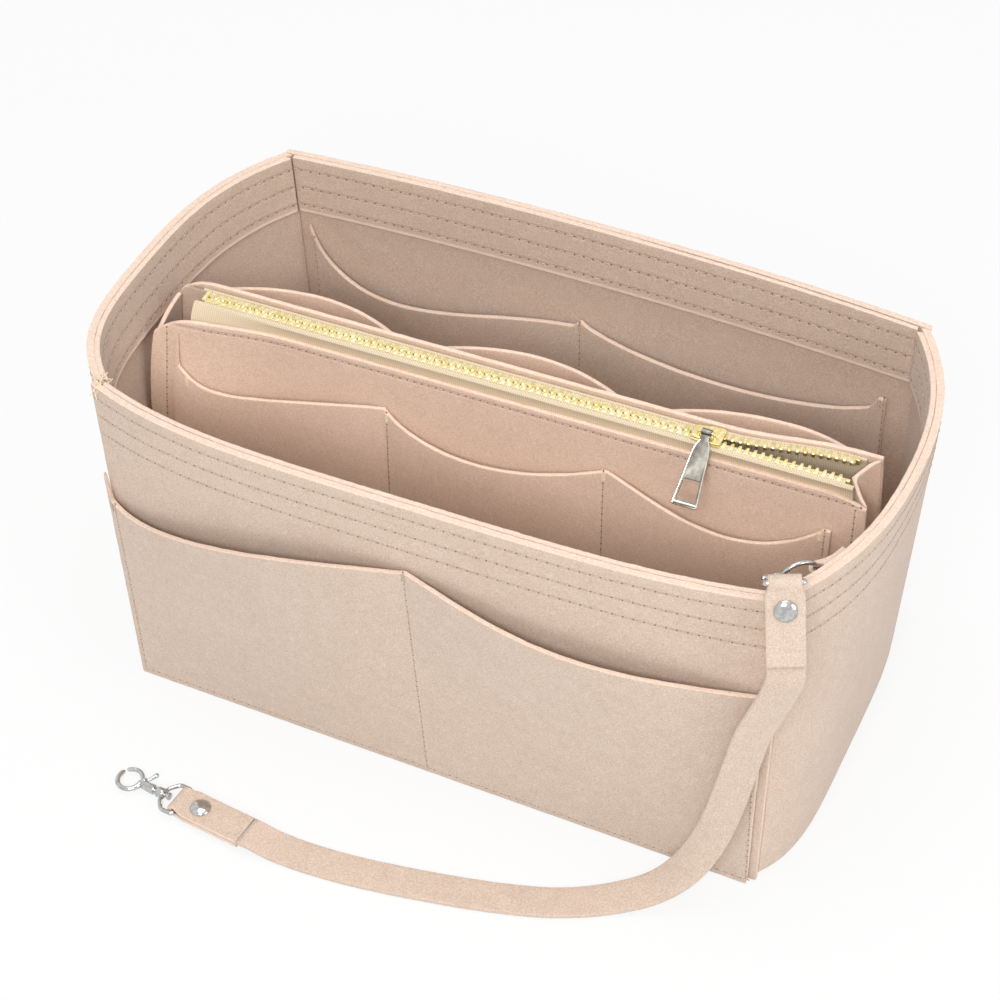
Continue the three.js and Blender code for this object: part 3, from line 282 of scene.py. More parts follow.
soft_shine = {"Roughness": 0.7, "Sheen Weight": 0.2}
thread = finish_with("thread", soft_shine, spun("A8907D", "D2BBA7"))
pale_thread = finish_with("pale_thread", soft_shine, spun("DCC8A8", "F3E6CC"))
tape_cloth = finish_with("tape_cloth", {"Roughness": 0.85, "Sheen Weight": 0.2}, tape_pattern)
gold = metal("pale_gold", "E0CB85", "F7EBBB", 0.3, 0.45)
satin = metal("satin_steel", "77746C", "8C8981", 0.28, 0.4)
polished = metal("polished_steel", "D6D2C4", "EDEADF", 0.15, 0.25)
chrome = metal("chrome", "B2B2B0", "CDCDCB", 0.07, 0.14)
print("materials:", len(bpy.data.materials))


# %% [markdown]
# ## Curves and strips
# The strap is a flat felt strip that hangs from the rim, meets the floor and runs along it. Its
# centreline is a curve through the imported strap's own points, and a second list says which way its
# flat face looks, so that it twists from facing forward to facing up. Each section is a rounded
# rectangle. The curve is a centripetal one, which doesn't overshoot between uneven points.

# %% Smooth curves and swept strips
def through(points, steps=24):
    """Points of a centripetal Catmull-Rom curve, with the same number of steps in each span."""
    points = [Vector(p) for p in points]
    points = [2 * points[0] - points[1], *points, 2 * points[-1] - points[-2]]
    made = []
    for before, start, end, after in zip(points, points[1:], points[2:], points[3:]):
        gaps = [max((q - p).length ** 0.5, 1e-6) for p, q in ((before, start), (start, end), (end, after))]
        leave = (start - before) / gaps[0] - (end - before) / (gaps[0] + gaps[1]) + (end - start) / gaps[1]
        arrive = (end - start) / gaps[1] - (after - start) / (gaps[1] + gaps[2]) + (after - end) / gaps[2]
        leave, arrive = leave * gaps[1], arrive * gaps[1]
        for step in range(steps):
            t = step / steps
            made.append(start + leave * t + (3 * (end - start) - 2 * leave - arrive) * t * t
                        + (2 * (start - end) + leave + arrive) * t ** 3)
    return [*made, points[-2]]


def evenly(points, spacing, *followers):
    """The points at an even spacing along their line, and each follower list at the same places."""
    line = np.array(points, float)
    along = np.concatenate([[0], np.cumsum(np.linalg.norm(np.diff(line, axis=0), axis=1))])
    marks = np.linspace(0, along[-1], max(2, round(along[-1] / spacing) + 1))

    def taken(values):
        values = np.array(values, float).reshape(len(points), -1)
        return np.column_stack([np.interp(marks, along, column) for column in values.T])

    return [taken(line)] + [taken(values) for values in followers]


def smooth_line(points, steps, spacing):
    """One evenly spaced line through the points."""
    return evenly(through(points, steps), spacing)[0]


def smooth_shaded(piece):
    piece.data.polygons.foreach_set("use_smooth", [True] * len(piece.data.polygons))


def new_piece(name, vertices, faces, material):
    mesh = bpy.data.meshes.new(name)
    mesh.from_pydata([tuple(v) for v in vertices], [], faces)
    mesh.validate()
    piece = linked(name, mesh)
    face_outwards(piece)
    mesh.materials.append(material)
    smooth_shaded(piece)
    return piece


def face_outwards(piece):
    shape = bmesh.new()
    shape.from_mesh(piece.data)
    bmesh.ops.remove_doubles(shape, verts=shape.verts, dist=1e-7)
    bmesh.ops.recalc_face_normals(shape, faces=shape.faces)
    shape.to_mesh(piece.data)
    shape.free()


def rounded_section(width, thickness, corner, steps=3):
    """Points round a rectangle with rounded corners, width along the first axis."""
    points = []
    for quarter, (sx, sy) in enumerate([(1, 1), (-1, 1), (-1, -1), (1, -1)]):
        for step in range(steps + 1):
            angle = (quarter + step / steps) * math.pi / 2
            points.append((sx * (width / 2 - corner) + corner * math.cos(angle),
                           sy * (thickness / 2 - corner) + corner * math.sin(angle)))
    return points


def tube_faces(rings, sides, closed=False):
    """Quads between rings of as many points, with a cap at each end unless it closes on itself."""
    faces = []
    for row in range(rings if closed else rings - 1):
        for at in range(sides):
            a, b = row * sides, ((row + 1) % rings) * sides
            faces.append((a + at, a + (at + 1) % sides, b + (at + 1) % sides, b + at))
    if not closed:
        faces += [tuple(range(sides)), tuple(range((rings - 1) * sides, rings * sides))]
    return faces


def swept(name, line, facing, widths, thickness, material, across_steps, corner=0.5 * mm):
    """A strip along a line. facing is the flat face's direction and widths the width at each point."""
    line, facing = np.array(line, float), np.array(facing, float)
    tangent = np.gradient(line, axis=0)
    tangent /= np.linalg.norm(tangent, axis=1)[:, None]
    up = facing - (facing * tangent).sum(1)[:, None] * tangent
    up /= np.linalg.norm(up, axis=1)[:, None]
    across = np.cross(tangent, up)
    flat = [(-1 + 2 * step / across_steps) for step in range(1, across_steps)]
    vertices = []
    for width, centre, side, rise in zip(widths, line, across, up):
        corners = rounded_section(width, thickness, corner)
        half = len(corners) // 2
        inner = width / 2 - corner
        ring = corners[:half // 2] + [(-x * inner, thickness / 2) for x in flat]
        ring += corners[half // 2:half + half // 2] + [(x * inner, -thickness / 2) for x in flat]
        ring += corners[half + half // 2:]
        vertices += [centre + side * x + rise * y for x, y in ring]
    return new_piece(name, vertices, tube_faces(len(line), len(ring)), material)


# %% Felt surface: small unevenness and the cut edge
def felted(piece, edge_share, roughness=1.0, pressed_side=0):
    """Moves the surface a little, as pressed fibres do. edge_share(point, normal) is 1 on a cut edge."""
    count = len(piece.data.vertices)
    place, normal = np.zeros(count * 3), np.zeros(count * 3)
    piece.data.vertices.foreach_get("co", place)
    piece.data.vertices.foreach_get("normal", normal)
    place, normal = place.reshape(-1, 3), normal.reshape(-1, 3)
    cut, broad, fine = np.clip(edge_share(place, normal), 0, 1), 150, 700
    lift = np.array([0.1 * noise.noise(Vector(p * broad)) + (0.05 + 0.13 * c) * noise.noise(Vector(p * fine))
                     for p, c in zip(place, cut)])
    lift = lift * roughness * mm + (pressed(place, normal, pressed_side) if pressed_side else 0)
    piece.data.vertices.foreach_set("co", (place + normal * lift[:, None]).ravel())
    piece.data.update()
    layer = piece.data.attributes.new("cut", "FLOAT", "POINT")
    layer.data.foreach_set("value", np.asarray(cut, np.float32))


def ramp(values, low, high):
    """0 below low, 1 above high and a smooth change between."""
    share = np.clip((values - low) / (high - low), 0, 1)
    return share * share * (3 - 2 * share)


def no_edge(place, normal):
    return np.zeros(len(place))


# %% [markdown]
# ## The strap
# The photograph shows the strap from end to end, so its length is the photographed one. Its two
# ends butt against the folded felt tabs that hold the clasps. The frames of those tabs are built
# from the direction in which each tab lies.

# %% Where the folded tabs and clasps sit
layer_gap, tab_felt, strap_width, strap_thickness = 0.3 * mm, 2 * mm, 15 * mm, 2 * mm
tab_length, fold_bore = 34 * mm, 1.4 * mm


def axes(along, hint, origin):
    x = Vector(along).normalized()
    z = x.cross(Vector(hint)).normalized()
    return Matrix.Translation(origin) @ Matrix((x, z.cross(x), z)).transposed().to_4x4()


def clasp_axes(fold, aim, bar):
    side = Vector(bar).normalized()
    return axes(Vector(aim) - side * Vector(aim).dot(side), side, fold)


upper_fold = Vector((152.6, -87.4, 185.8)) * mm
upper_width = Vector((0.91, 0.41, 0.05)).normalized()
upper_tab = axes(Vector((-0.2, 0.36, 0.91)), -upper_width, upper_fold)
upper_loop = clasp_axes(upper_fold, (-0.32, 0.67, -0.67), -upper_tab.col[1].to_3d())
upper_axis = upper_loop.col[0].to_3d()
upper_hook = axes(upper_axis, (Vector((0, 0, 1)) - upper_axis * upper_axis.z).cross(upper_axis), upper_fold)
lower_fold = Vector((-93.2, -153.4, 4.3)) * mm
lower_back = Vector((0.995, -0.099, 0))
lower_bar = Vector((0, 0, 1)).cross(lower_back).normalized()
lower_tab = axes(-lower_back, -lower_bar, lower_fold)
lower_loop = clasp_axes(lower_fold, (-0.998, 0.03, -0.05), lower_bar)

# %% The strap's route and its mesh
strap_route = [
    (158, -100.6, 139.5), (153.4, -100.4, 124.7), (148.6, -101.2, 109.8), (144.3, -102.2, 87.3),
    (138.7, -104, 57.7), (132.6, -106.4, 36), (124.6, -110, 19.5), (114, -115, 8.4), (99, -123, 2.6),
    (79.2, -133.5, 1.6), (54.9, -141.5, 1.3), (12.3, -150.8, 1.2), (-20, -155.4, 1.3), (-44, -156.6, 2.1)]
strap_facing = [
    (0.43, -0.86, 0.15), (0.45, -0.89, 0), (0.44, -0.9, 0), (0.38, -0.92, 0), (0.25, -0.95, 0.1),
    (0.05, -0.85, 0.4), (-0.1, -0.6, 0.7), (-0.1, -0.3, 0.9), (-0.03, -0.1, 1), (0, 0, 1), (0, 0, 1),
    (0, 0, 1), (0, 0, 1), (0.02, 0, 1)]
layer_z = (layer_gap + tab_felt) / 2
strap_ends = [(0.5 * mm, 5 * mm), (5 * mm, 0.5 * mm)]
strap_points = [upper_tab @ Vector((-tab_length - past, 0, -layer_z)) for past in strap_ends[0]]
strap_points += [Vector(p) * mm for p in strap_route]
strap_points += [lower_tab @ Vector((-tab_length - past, 0, layer_z)) for past in strap_ends[1]]
strap_faces = [upper_tab.col[2].to_3d()] * 2 + strap_facing + [lower_tab.col[2].to_3d()] * 2
strap_line, strap_look = evenly(through(strap_points), 2 * mm, through(strap_faces))
strap_length = float(np.linalg.norm(np.diff(strap_line, axis=0), axis=1).sum())
strap = swept("key_strap", strap_line, strap_look, [strap_width] * len(strap_line), strap_thickness,
              strap_felt, across_steps=8)
print("strap length in mm:", round(strap_length / mm, 1))


# %% [markdown]
# ## Walls, bands and pockets of felt
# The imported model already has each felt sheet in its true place, with flat facets and sharp edges.
# Real felt bends smoothly and its edges are softly rounded. So each piece starts as a copy of its
# sheet, the triangles are joined to quads again, a narrow bevel keeps the edges, and subdivision
# makes the bends smooth. This is easier to keep in place than a shape made from nothing.

# %% Felt layers pressed together at the rim
def pressed(place, normal, side):
    """Where wall and band meet, above 144 mm, each swells to close the gap; the back right stays open."""
    inward = -(normal[:, :2] * place[:, :2]).sum(1) / np.maximum(np.linalg.norm(place[:, :2], axis=1), 1e-6)
    facing = ramp(side * inward, 0.15, 0.5)
    ajar = ramp(place[:, 0], 0.0, 0.05) * ramp(place[:, 1], 0.07, 0.08) * ramp(-place[:, 0], -0.152, -0.146)
    return 0.3 * mm * facing * ramp(place[:, 2], 0.140, 0.148) * (1 - ajar)


# %% From a packed sheet to a soft one
def softened(node, name, material, levels, edge_share, bevel=0.6 * mm, roughness=1.0, pressed_side=0):
    piece = linked(name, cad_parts[node].data.copy())
    shape = bmesh.new()
    shape.from_mesh(piece.data)
    bmesh.ops.remove_doubles(shape, verts=shape.verts, dist=5e-6)
    bmesh.ops.join_triangles(shape, faces=shape.faces, angle_face_threshold=0.5, angle_shape_threshold=3.1)
    shape.to_mesh(piece.data)
    shape.free()
    rounding = piece.modifiers.new("rounded edges", "BEVEL")
    rounding.width, rounding.segments, rounding.limit_method = bevel, 2, "ANGLE"
    rounding.angle_limit = math.radians(40)
    smooth = piece.modifiers.new("smooth bends", "SUBSURF")
    smooth.levels = smooth.render_levels = levels
    applied(piece)
    piece.data.materials.clear()
    piece.data.materials.append(material)
    smooth_shaded(piece)
    felted(piece, edge_share, roughness, pressed_side)
    print(name, "faces:", len(piece.data.polygons))
    return piece


def mesh_made_by(holder):
    """The mesh that an object's modifiers, or a curve's settings, make of it."""
    graph = bpy.context.evaluated_depsgraph_get()
    return bpy.data.meshes.new_from_object(holder.evaluated_get(graph), depsgraph=graph)


def applied(piece):
    """Replaces the piece's mesh by the one that its modifiers make, and removes them."""
    mesh = mesh_made_by(piece)
    piece.modifiers.clear()
    piece.data = mesh


# %% Where each sheet shows its cut edge
upward, sideways, above_floor, outer_ends = (0.35, 0.8), (0.6, 0.9), (50 * mm, 60 * mm), (130 * mm, 135 * mm)


def top_edge(place, normal):
    return ramp(normal[:, 2], *upward) * ramp(place[:, 2], *above_floor)


def panel_edge(place, normal):
    return np.maximum(top_edge(place, normal), ramp(np.abs(normal[:, 0]), *sideways))


def gusset_edge(place, normal):
    return np.maximum(top_edge(place, normal), ramp(np.abs(normal[:, 1]), *sideways))


def mouth_edge(place, normal):
    ends = ramp(np.abs(normal[:, 0]), 0.7, 0.95) * ramp(np.abs(place[:, 0]), *outer_ends)
    return np.maximum(top_edge(place, normal), ends)


# %% The felt pieces of the case
wall_side, band_side, loose = 1, -1, 0
felt_pieces = {}
for node, name, levels, edge, pressing in [
    ("gusset_strip", "end_and_floor_felt", 2, gusset_edge, wall_side),
    ("front_panel", "front_felt", 3, panel_edge, wall_side),
    ("back_panel", "back_felt", 3, panel_edge, wall_side),
    ("front_hem_band", "front_band_felt", 3, panel_edge, band_side),
    ("back_hem_band", "back_band_felt", 3, panel_edge, band_side),
    ("left_hem_band", "left_band_felt", 3, gusset_edge, band_side),
    ("right_hem_band", "right_band_felt", 3, gusset_edge, band_side),
    ("front_pocket_panel", "front_pocket_felt", 2, mouth_edge, loose),
    ("back_pocket_panel", "back_pocket_felt", 2, mouth_edge, loose),
    ("anchor_tab", "anchor_tab_felt", 2, gusset_edge, loose),
]:
    finish = {band_side: band_felt, wall_side: case_felt, loose: strap_felt}[pressing]
    piece = softened(node, name, finish, levels, edge, pressed_side=pressing)
    felt_pieces[node] = piece
    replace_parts(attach(felt_pieces[node], "case"), node)

# %% The felt pieces of the pouch
for node, name, finish, edge in [
    ("pouch_gusset_strip", "pouch_end_felt", pouch_felt, gusset_edge),
    ("pouch_front_panel", "pouch_front_felt", pouch_front_felt, panel_edge),
    ("pouch_back_panel", "pouch_back_felt", pouch_back_felt, panel_edge),
    ("pouch_front_pockets", "pouch_front_pocket_felt", pouch_felt, mouth_edge),
    ("pouch_back_pockets", "pouch_back_pocket_felt", pouch_felt, mouth_edge),
]:
    felt_pieces[node] = softened(node, name, finish, 2, edge, 0.5 * mm)
    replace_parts(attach(felt_pieces[node], "pouch"), node)

# %% [markdown]
# ## Tapes
# Each side of the zipper has a woven tape, sewn to the inside of the pouch's felt. A tape is thin,
# so its copy gets a very narrow bevel.

# %% Zipper tapes
for side in ("front", "back"):
    tape = softened(f"{side}_zipper_tape", f"{side}_tape_cloth", tape_cloth, 2, no_edge, 0.12 * mm, 0.4)
    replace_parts(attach(tape, "pouch"), f"{side}_zipper_tape")
    felt_pieces[f"{side}_zipper_tape"] = tape

# %% [markdown]
# ## Folded tabs
# Each strap end is a piece of felt folded round the wire loop of its clasp and riveted through
# both layers. It is one strip again, along a line that runs out, turns round the wire and comes
# back.

# %% Folded tabs
def folded_tab(name, place):
    middle = fold_bore + tab_felt / 2
    run = [(-tab_length, layer_z), (-22 * mm, layer_z), (-13 * mm, layer_z), (-7 * mm, layer_z * 1.1)]
    bend = [(middle * math.cos(a), middle * math.sin(a)) for a in np.radians(np.linspace(125, -125, 15))]
    line = run + bend + [(x, -z) for x, z in reversed(run)]
    points = smooth_line([(x, 0, z) for x, z in line], 8, 1 * mm)
    tangent = np.gradient(points, axis=0)
    facing = np.column_stack([-tangent[:, 2], tangent[:, 1], tangent[:, 0]])
    narrow = 1 - 0.16 * ramp(points[:, 0], -6 * mm, 0)
    tab = swept(name, points, facing, strap_width * narrow, tab_felt, strap_felt, across_steps=10)
    felted(tab, lambda where, normal: ramp(np.abs(normal[:, 1]), 0.5, 0.85), 0.7)
    tab.data.transform(place)
    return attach(tab, "case")


upper_tab_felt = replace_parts(folded_tab("upper_tab_felt", upper_tab), "upper_strap_tab")
lower_tab_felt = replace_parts(folded_tab("lower_tab_felt", lower_tab), "lower_strap_tab")


# %% [markdown]
# ## Round metal
# Wire is a circle swept along a line, and rivets and collars are turned shapes: a profile spun
# about an axis. Both are made from plain lists of points, which keeps the meshes clean and closed.

# %% Wire, turned shapes and rounded outlines
def wire(line, radius, closed=False, sides=14):
    """Vertices and faces of a round wire. radius is one number or one for each point."""
    line = np.array(line, float)
    tangent = (np.roll(line, -1, 0) - np.roll(line, 1, 0)) if closed else np.gradient(line, axis=0)
    tangent /= np.linalg.norm(tangent, axis=1)[:, None]
    side = np.cross(tangent[0], [0.3, 0.2, 0.93])
    vertices = []
    for centre, forward, size in zip(line, tangent, np.broadcast_to(radius, len(line))):
        side = side - side.dot(forward) * forward
        side /= np.linalg.norm(side)
        up = np.cross(forward, side)
        for turn in np.linspace(0, 2 * math.pi, sides, endpoint=False):
            vertices.append(centre + size * (math.cos(turn) * side + math.sin(turn) * up))
    return vertices, tube_faces(len(line), sides, closed)


def turned(profile, sides=36):
    """A profile of (along X, radius) in millimetres, spun about X and closed at both ends."""
    vertices = []
    for x, radius in profile:
        for turn in np.linspace(0, 2 * math.pi, sides, endpoint=False):
            vertices.append((x * mm, radius * mm * math.cos(turn), radius * mm * math.sin(turn)))
    return vertices, tube_faces(len(profile), sides)


def assembled(name, parts, material, place=Matrix.Identity(4)):
    """One mesh from several (vertices, faces) pairs, put in place."""
    vertices, faces = [], []
    for points, polygons in parts:
        faces += [tuple(len(vertices) + at for at in polygon) for polygon in polygons]
        vertices += [tuple(p) for p in points]
    piece = new_piece(name, vertices, faces, material)
    piece.data.transform(place)
    sharpened(piece)
    return piece


def sharpened(piece, degrees=35):
    piece.data.set_sharp_from_angle(angle=math.radians(degrees))


def moved(part, matrix):
    return [matrix @ Vector(p) for p in part[0]], part[1]


def arc(radius, start, end, count, centre=(0, 0)):
    turns = np.radians(np.linspace(start, end, count))
    return [(centre[0] + radius * math.cos(t), centre[1] + radius * math.sin(t), 0) for t in turns]


def rounded_outline(points, radius, steps=4):
    """A closed outline with a small curve at each corner."""
    made = []
    for at, corner in enumerate(points):
        corner = Vector(corner)
        before, after = Vector(points[at - 1]), Vector(points[(at + 1) % len(points)])
        start = corner + (before - corner).normalized() * min(radius, (before - corner).length / 2)
        end = corner + (after - corner).normalized() * min(radius, (after - corner).length / 2)
        for step in range(steps + 1):
            t = step / steps
            made.append((1 - t) ** 2 * start + 2 * t * (1 - t) * corner + t * t * end)
    return made


def mirrored(half):
    """A symmetric outline: one half, then its mirror image in X, run backwards."""
    return [*half, *[(-x, y) for x, y in reversed(half)]]


# %% [markdown]
# ## Clasps
# A clasp has a wire loop in the strap's fold, a collar in which the hook turns, a hook that is
# nearly a ring, and a sprung trigger that shuts it. Each is built along X from the fold and then
# laid in its place.

# %% Rivets, loops, hooks and triggers
hinge, hook_centre, hook_radius = (21.2, 1.5), (28.1, 0), 5.6


def stand_at(x, y):
    """Turns a shape's X axis upright and moves it to x and y, in millimetres."""
    return Matrix.Translation((x * mm, y * mm, 0)) @ Matrix.Rotation(-math.pi / 2, 4, "Y")


def rivet(name, place):
    face, head, shaft, dome = 2.45, 4.6, 1.2, 1.7
    cap = [(face + dome * math.sin(t), head * math.cos(t)) for t in np.radians([88, 75, 60, 45, 30, 18, 9])]
    cap += [(face + 0.15, head), (face, head * 0.97), (face, shaft)]
    part = turned([(-x, r) for x, r in cap] + cap[::-1], 40)
    return assembled(name, [moved(part, stand_at(-10.5, 0))], chrome, place)


def clasp_loop(name, place):
    half, depth, radius = 7.6, 9.4, 1.0
    corners = [(0, -half), (0, half), (depth * 0.62, half), (depth, half * 0.45), (depth, -half * 0.45),
               (depth * 0.62, -half)]
    rod = [(p.x * mm, p.y * mm, 0) for p in rounded_outline(corners, 1.2)]
    start = depth + radius - 1.3
    collar = [(0, 1.4), (0, 2.0), (0.3, 2.35), (0.7, 2.5), (3.3, 2.5), (3.7, 2.35), (4, 2.0), (4, 1.4)]
    parts = [wire(rod, radius * mm, closed=True), turned([(start + x, r) for x, r in collar])]
    return assembled(name, parts, chrome, place)


def clasp_hook(name, place):
    body = turned([(6.1, 1.2), (6.2, 1.7), (7.0, 1.75), (7.1, 1.1), (14.4, 1.1), (14.4, 1.9),
                   (14.7, 2.25), (15.2, 2.3), (18, 2.1), (21, 1.85), (21.6, 1.6), (21.8, 1.0)])
    ring = arc(hook_radius, -188, 30, 34, hook_centre)
    taper = [1.5 - 0.35 * min(1, at / 8) for at in range(len(ring) - 3)] + [1.1, 0.95, 0.6]
    hook = wire(np.array(ring) * mm, [r * mm for r in taper])
    pin = turned([(-1.95, 0.5), (-1.8, 0.75), (1.8, 0.75), (1.95, 0.5)], 16)
    ears = [turned([(level + x, r) for x, r in [(0, 1.1), (0.08, 1.5), (0.32, 1.5), (0.4, 1.1)]], 24)
            for level in (-1.45, 1.05)]
    hinged = [moved(part, stand_at(*hinge)) for part in (pin, *ears)]
    return assembled(name, [body, hook, *hinged], chrome, place)


def clasp_trigger(name, place):
    gate = [(*hinge, 0), (22.2, 2.3, 0), *arc(hook_radius, 145, 40, 16, hook_centre)]
    lever = [(*hinge, 0), (20.0, 4.0, 0), (18.9, 6.6, 0), (18.5, 7.9, 0)]
    parts = []
    for points, places, sizes in [(gate, [0, 0.2, 0.9, 1], [0.75, 1.05, 1.05, 0.7]),
                                  (lever, [0, 0.5, 0.9, 1], [0.75, 0.8, 1.15, 0.7])]:
        line = smooth_line(points, 6, 0.6)
        parts.append(wire(line * mm, np.interp(np.linspace(0, 1, len(line)), places, sizes) * mm))
    eye = turned([(-0.72, 1.2), (-0.6, 1.45), (0.6, 1.45), (0.72, 1.2)], 24)
    return assembled(name, [*parts, moved(eye, stand_at(*hinge))], chrome, place)


for end, tab_place, loop_place, hook_place in [("upper", upper_tab, upper_loop, upper_hook),
                                              ("lower", lower_tab, lower_loop, lower_loop)]:
    made = [
        (rivet(f"{end}_rivet_metal", tab_place), "case", f"{end}_rivet"),
        (clasp_loop(f"{end}_loop_wire", loop_place), "case", f"{end}_clasp_loop"),
        (clasp_hook(f"{end}_hook_metal", hook_place), f"{end}_hook", f"{end}_clasp_hook"),
        (clasp_trigger(f"{end}_trigger_metal", hook_place), f"{end}_trigger", f"{end}_clasp_trigger"),
    ]
    for piece, body, node in made:
        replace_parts(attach(piece, body), node)

# %% The anchor ring on the right end
low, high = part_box("anchor_ring")
ring_wire = 0.95 * mm
ring_radius = (high.z - low.z) / 2 - ring_wire
ring_place = axes((0.739, 0.674, 0), (0, 0, 1), (low + high) / 2)
turns = np.linspace(0, 2 * math.pi, 48, endpoint=False)
ring_line = [(ring_radius * math.cos(t), ring_radius * math.sin(t), 0) for t in turns]
anchor_ring = assembled("anchor_ring_wire", [wire(ring_line, ring_wire, closed=True)], chrome, ring_place)
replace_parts(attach(anchor_ring, "case"), "anchor_ring")

# %% The strap's felt surface, on the case
felted(strap, no_edge, 0.8)
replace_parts(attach(strap, "case"), "strap")

# %% [markdown]
# ## Geometry Nodes for what repeats
# A row of stitches is one short thread, repeated at an even pitch along a sewing line, and a
# zipper's row is one tooth repeated along its tape. Geometry Nodes do both: the line becomes a
# curve, the curve is resampled at the pitch, and an instance stands on each point. The line
# carries an attribute, out, with the direction in which the surface looks there.

# %% A tree with named inputs
def new_tree(name, **inputs):
    """The graph of a new Geometry Nodes tree. Each input is given with the kind of its socket."""
    tree = bpy.data.node_groups.new(name, "GeometryNodeTree")
    for label, kind in {"Geometry": "Geometry", **inputs}.items():
        tree.interface.new_socket(label, in_out="INPUT", socket_type="NodeSocket" + kind)
    tree.interface.new_socket("Geometry", in_out="OUTPUT", socket_type="NodeSocketGeometry")
    return Graph(tree)


def use_tree(piece, tree, values):
    modifier = piece.modifiers.new(tree.name, "NODES")
    modifier.node_group = tree
    for item in tree.interface.items_tree:
        if item.name in values:
            modifier[item.identifier] = values[item.name]
    applied(piece)


def repeated(graph, part, jitter):
    """Ends a tree: the part at every pitch of the line, turned to the line and to the surface."""
    curve = graph.make("GeometryNodeMeshToCurve", None, {"Mesh": graph.asked("Geometry")})
    spaced = graph.make("GeometryNodeResampleCurve", {"mode": "LENGTH"},
                        {"Curve": curve, "Length": graph.asked("Pitch")})
    outward = graph.make("GeometryNodeInputNamedAttribute", {"data_type": "FLOAT_VECTOR"}, {"Name": "out"})
    forward = graph.make("GeometryNodeInputTangent")
    turn = graph.make("FunctionNodeAxesToRotation", {"primary_axis": "Z", "secondary_axis": "X"},
                      {"Primary Axis": outward, "Secondary Axis": forward})
    size = graph.make("FunctionNodeRandomValue", {"data_type": "FLOAT"},
                      {2: 1 - jitter, 3: 1 + jitter, "Seed": 7}, 1)
    rows = graph.make("GeometryNodeInstanceOnPoints", None,
                      {"Points": spaced, "Instance": part, "Rotation": turn, "Scale": size})
    real = graph.make("GeometryNodeRealizeInstances", None, {"Geometry": rows})
    painted = graph.make("GeometryNodeSetMaterial", None,
                         {"Geometry": real, "Material": graph.asked("Finish")})
    graph.make("NodeGroupOutput", None, {"Geometry": painted})
    return graph.tree


# %% The stitch tree
def stitch_tree():
    """A bowed thread whose ends sink into the felt, and a flat spot beside it, coloured dark as painted
    shade for the needle holes.
    """
    graph = new_tree("stitches", Pitch="Float", Length="Float", Thread="Float", Rise="Float",
                     Sink="Float", Hole="Float", Finish="Material")

    def spot(x, z):
        return graph.make("ShaderNodeCombineXYZ", None, {"X": x, "Z": z})

    half, sunk = graph.asked("Length") * 0.5, graph.asked("Sink") * -1
    bow = graph.make("GeometryNodeCurveQuadraticBezier", None, {
        "Resolution": 5, "Start": spot(half * -1, sunk), "Middle": spot(0.0, graph.asked("Rise")),
        "End": spot(half, sunk)})
    section = graph.make("GeometryNodeCurvePrimitiveCircle", None,
                         {"Resolution": 6, "Radius": graph.asked("Thread")})
    strand = graph.make("GeometryNodeCurveToMesh", None,
                        {"Curve": bow, "Profile Curve": section, "Fill Caps": True})
    ball = graph.make("GeometryNodeMeshUVSphere", None,
                      {"Segments": 8, "Rings": 4, "Radius": graph.asked("Hole")})
    flat = graph.make("GeometryNodeTransform", None, {
        "Geometry": ball, "Translation": spot(graph.asked("Pitch") * 0.5, 0.0), "Scale": (1.0, 1.0, 0.22)})
    # The flat spot is marked so that the thread material paints it dark, as painted shade for the needle
    # holes.
    marked = graph.make("GeometryNodeStoreNamedAttribute", {"data_type": "FLOAT", "domain": "POINT"},
                        {"Geometry": flat, "Name": "hole", "Value": 1.0})
    both = graph.tree.nodes.new("GeometryNodeJoinGeometry")
    for part in (strand, marked):
        graph.tree.links.new(part.socket, both.inputs[0])
    return repeated(graph, Wire(graph, both.outputs[0]), jitter=0.05)


stitches = stitch_tree()

# %% [markdown]
# ## Sewing lines
# A sewing line has to lie on the felt, so it is found by shooting rays at the finished felt from
# outside or inside. Where a ray hits gives the point, and the face that it hits gives the
# direction outwards. Three rows run round the rim on both sides, and single rows run down the
# pocket seams and along the edges.

# %% Rays that find the felt
def target(*names):
    """A search tree of the named felt pieces' faces, which rays can be shot at."""
    vertices, polygons = [], []
    for name in names:
        data = felt_pieces[name].data
        polygons += [[len(vertices) + at for at in p.vertices] for p in data.polygons]
        vertices += [v.co.copy() for v in data.vertices]
    return BVHTree.FromPolygons(vertices, polygons)


ray_reach, depth_jump, least_facing, fewest_points = 400 * mm, 2.5 * mm, 0.2, 4


def sewing_line(tree, starts, direction):
    """Lists of (point, outward) where the rays hit; a miss or a jump in depth ends a list."""
    direction = Vector(direction).normalized()
    lines, line, last = [], [], None
    for start in starts:
        hit, normal, _, depth = tree.ray_cast(Vector(start), direction, ray_reach)
        missed = hit is None or normal.dot(direction) > -least_facing
        if missed or (last is not None and abs(depth - last) > depth_jump):
            lines.append(line)
            line, last = [], None
        if not missed:
            line.append((hit, normal))
            last = depth
    lines.append(line)
    return [one for one in lines if len(one) >= fewest_points]


def guide(name, points, edges, outward):
    """A line for a tree to follow, with the directions in which the surface looks."""
    mesh = bpy.data.meshes.new(name)
    mesh.from_pydata([tuple(p) for p in points], edges, [])
    layer = mesh.attributes.new("out", "FLOAT_VECTOR", "POINT")
    layer.data.foreach_set("vector", np.array(outward, np.float32).ravel())
    return linked(name, mesh)


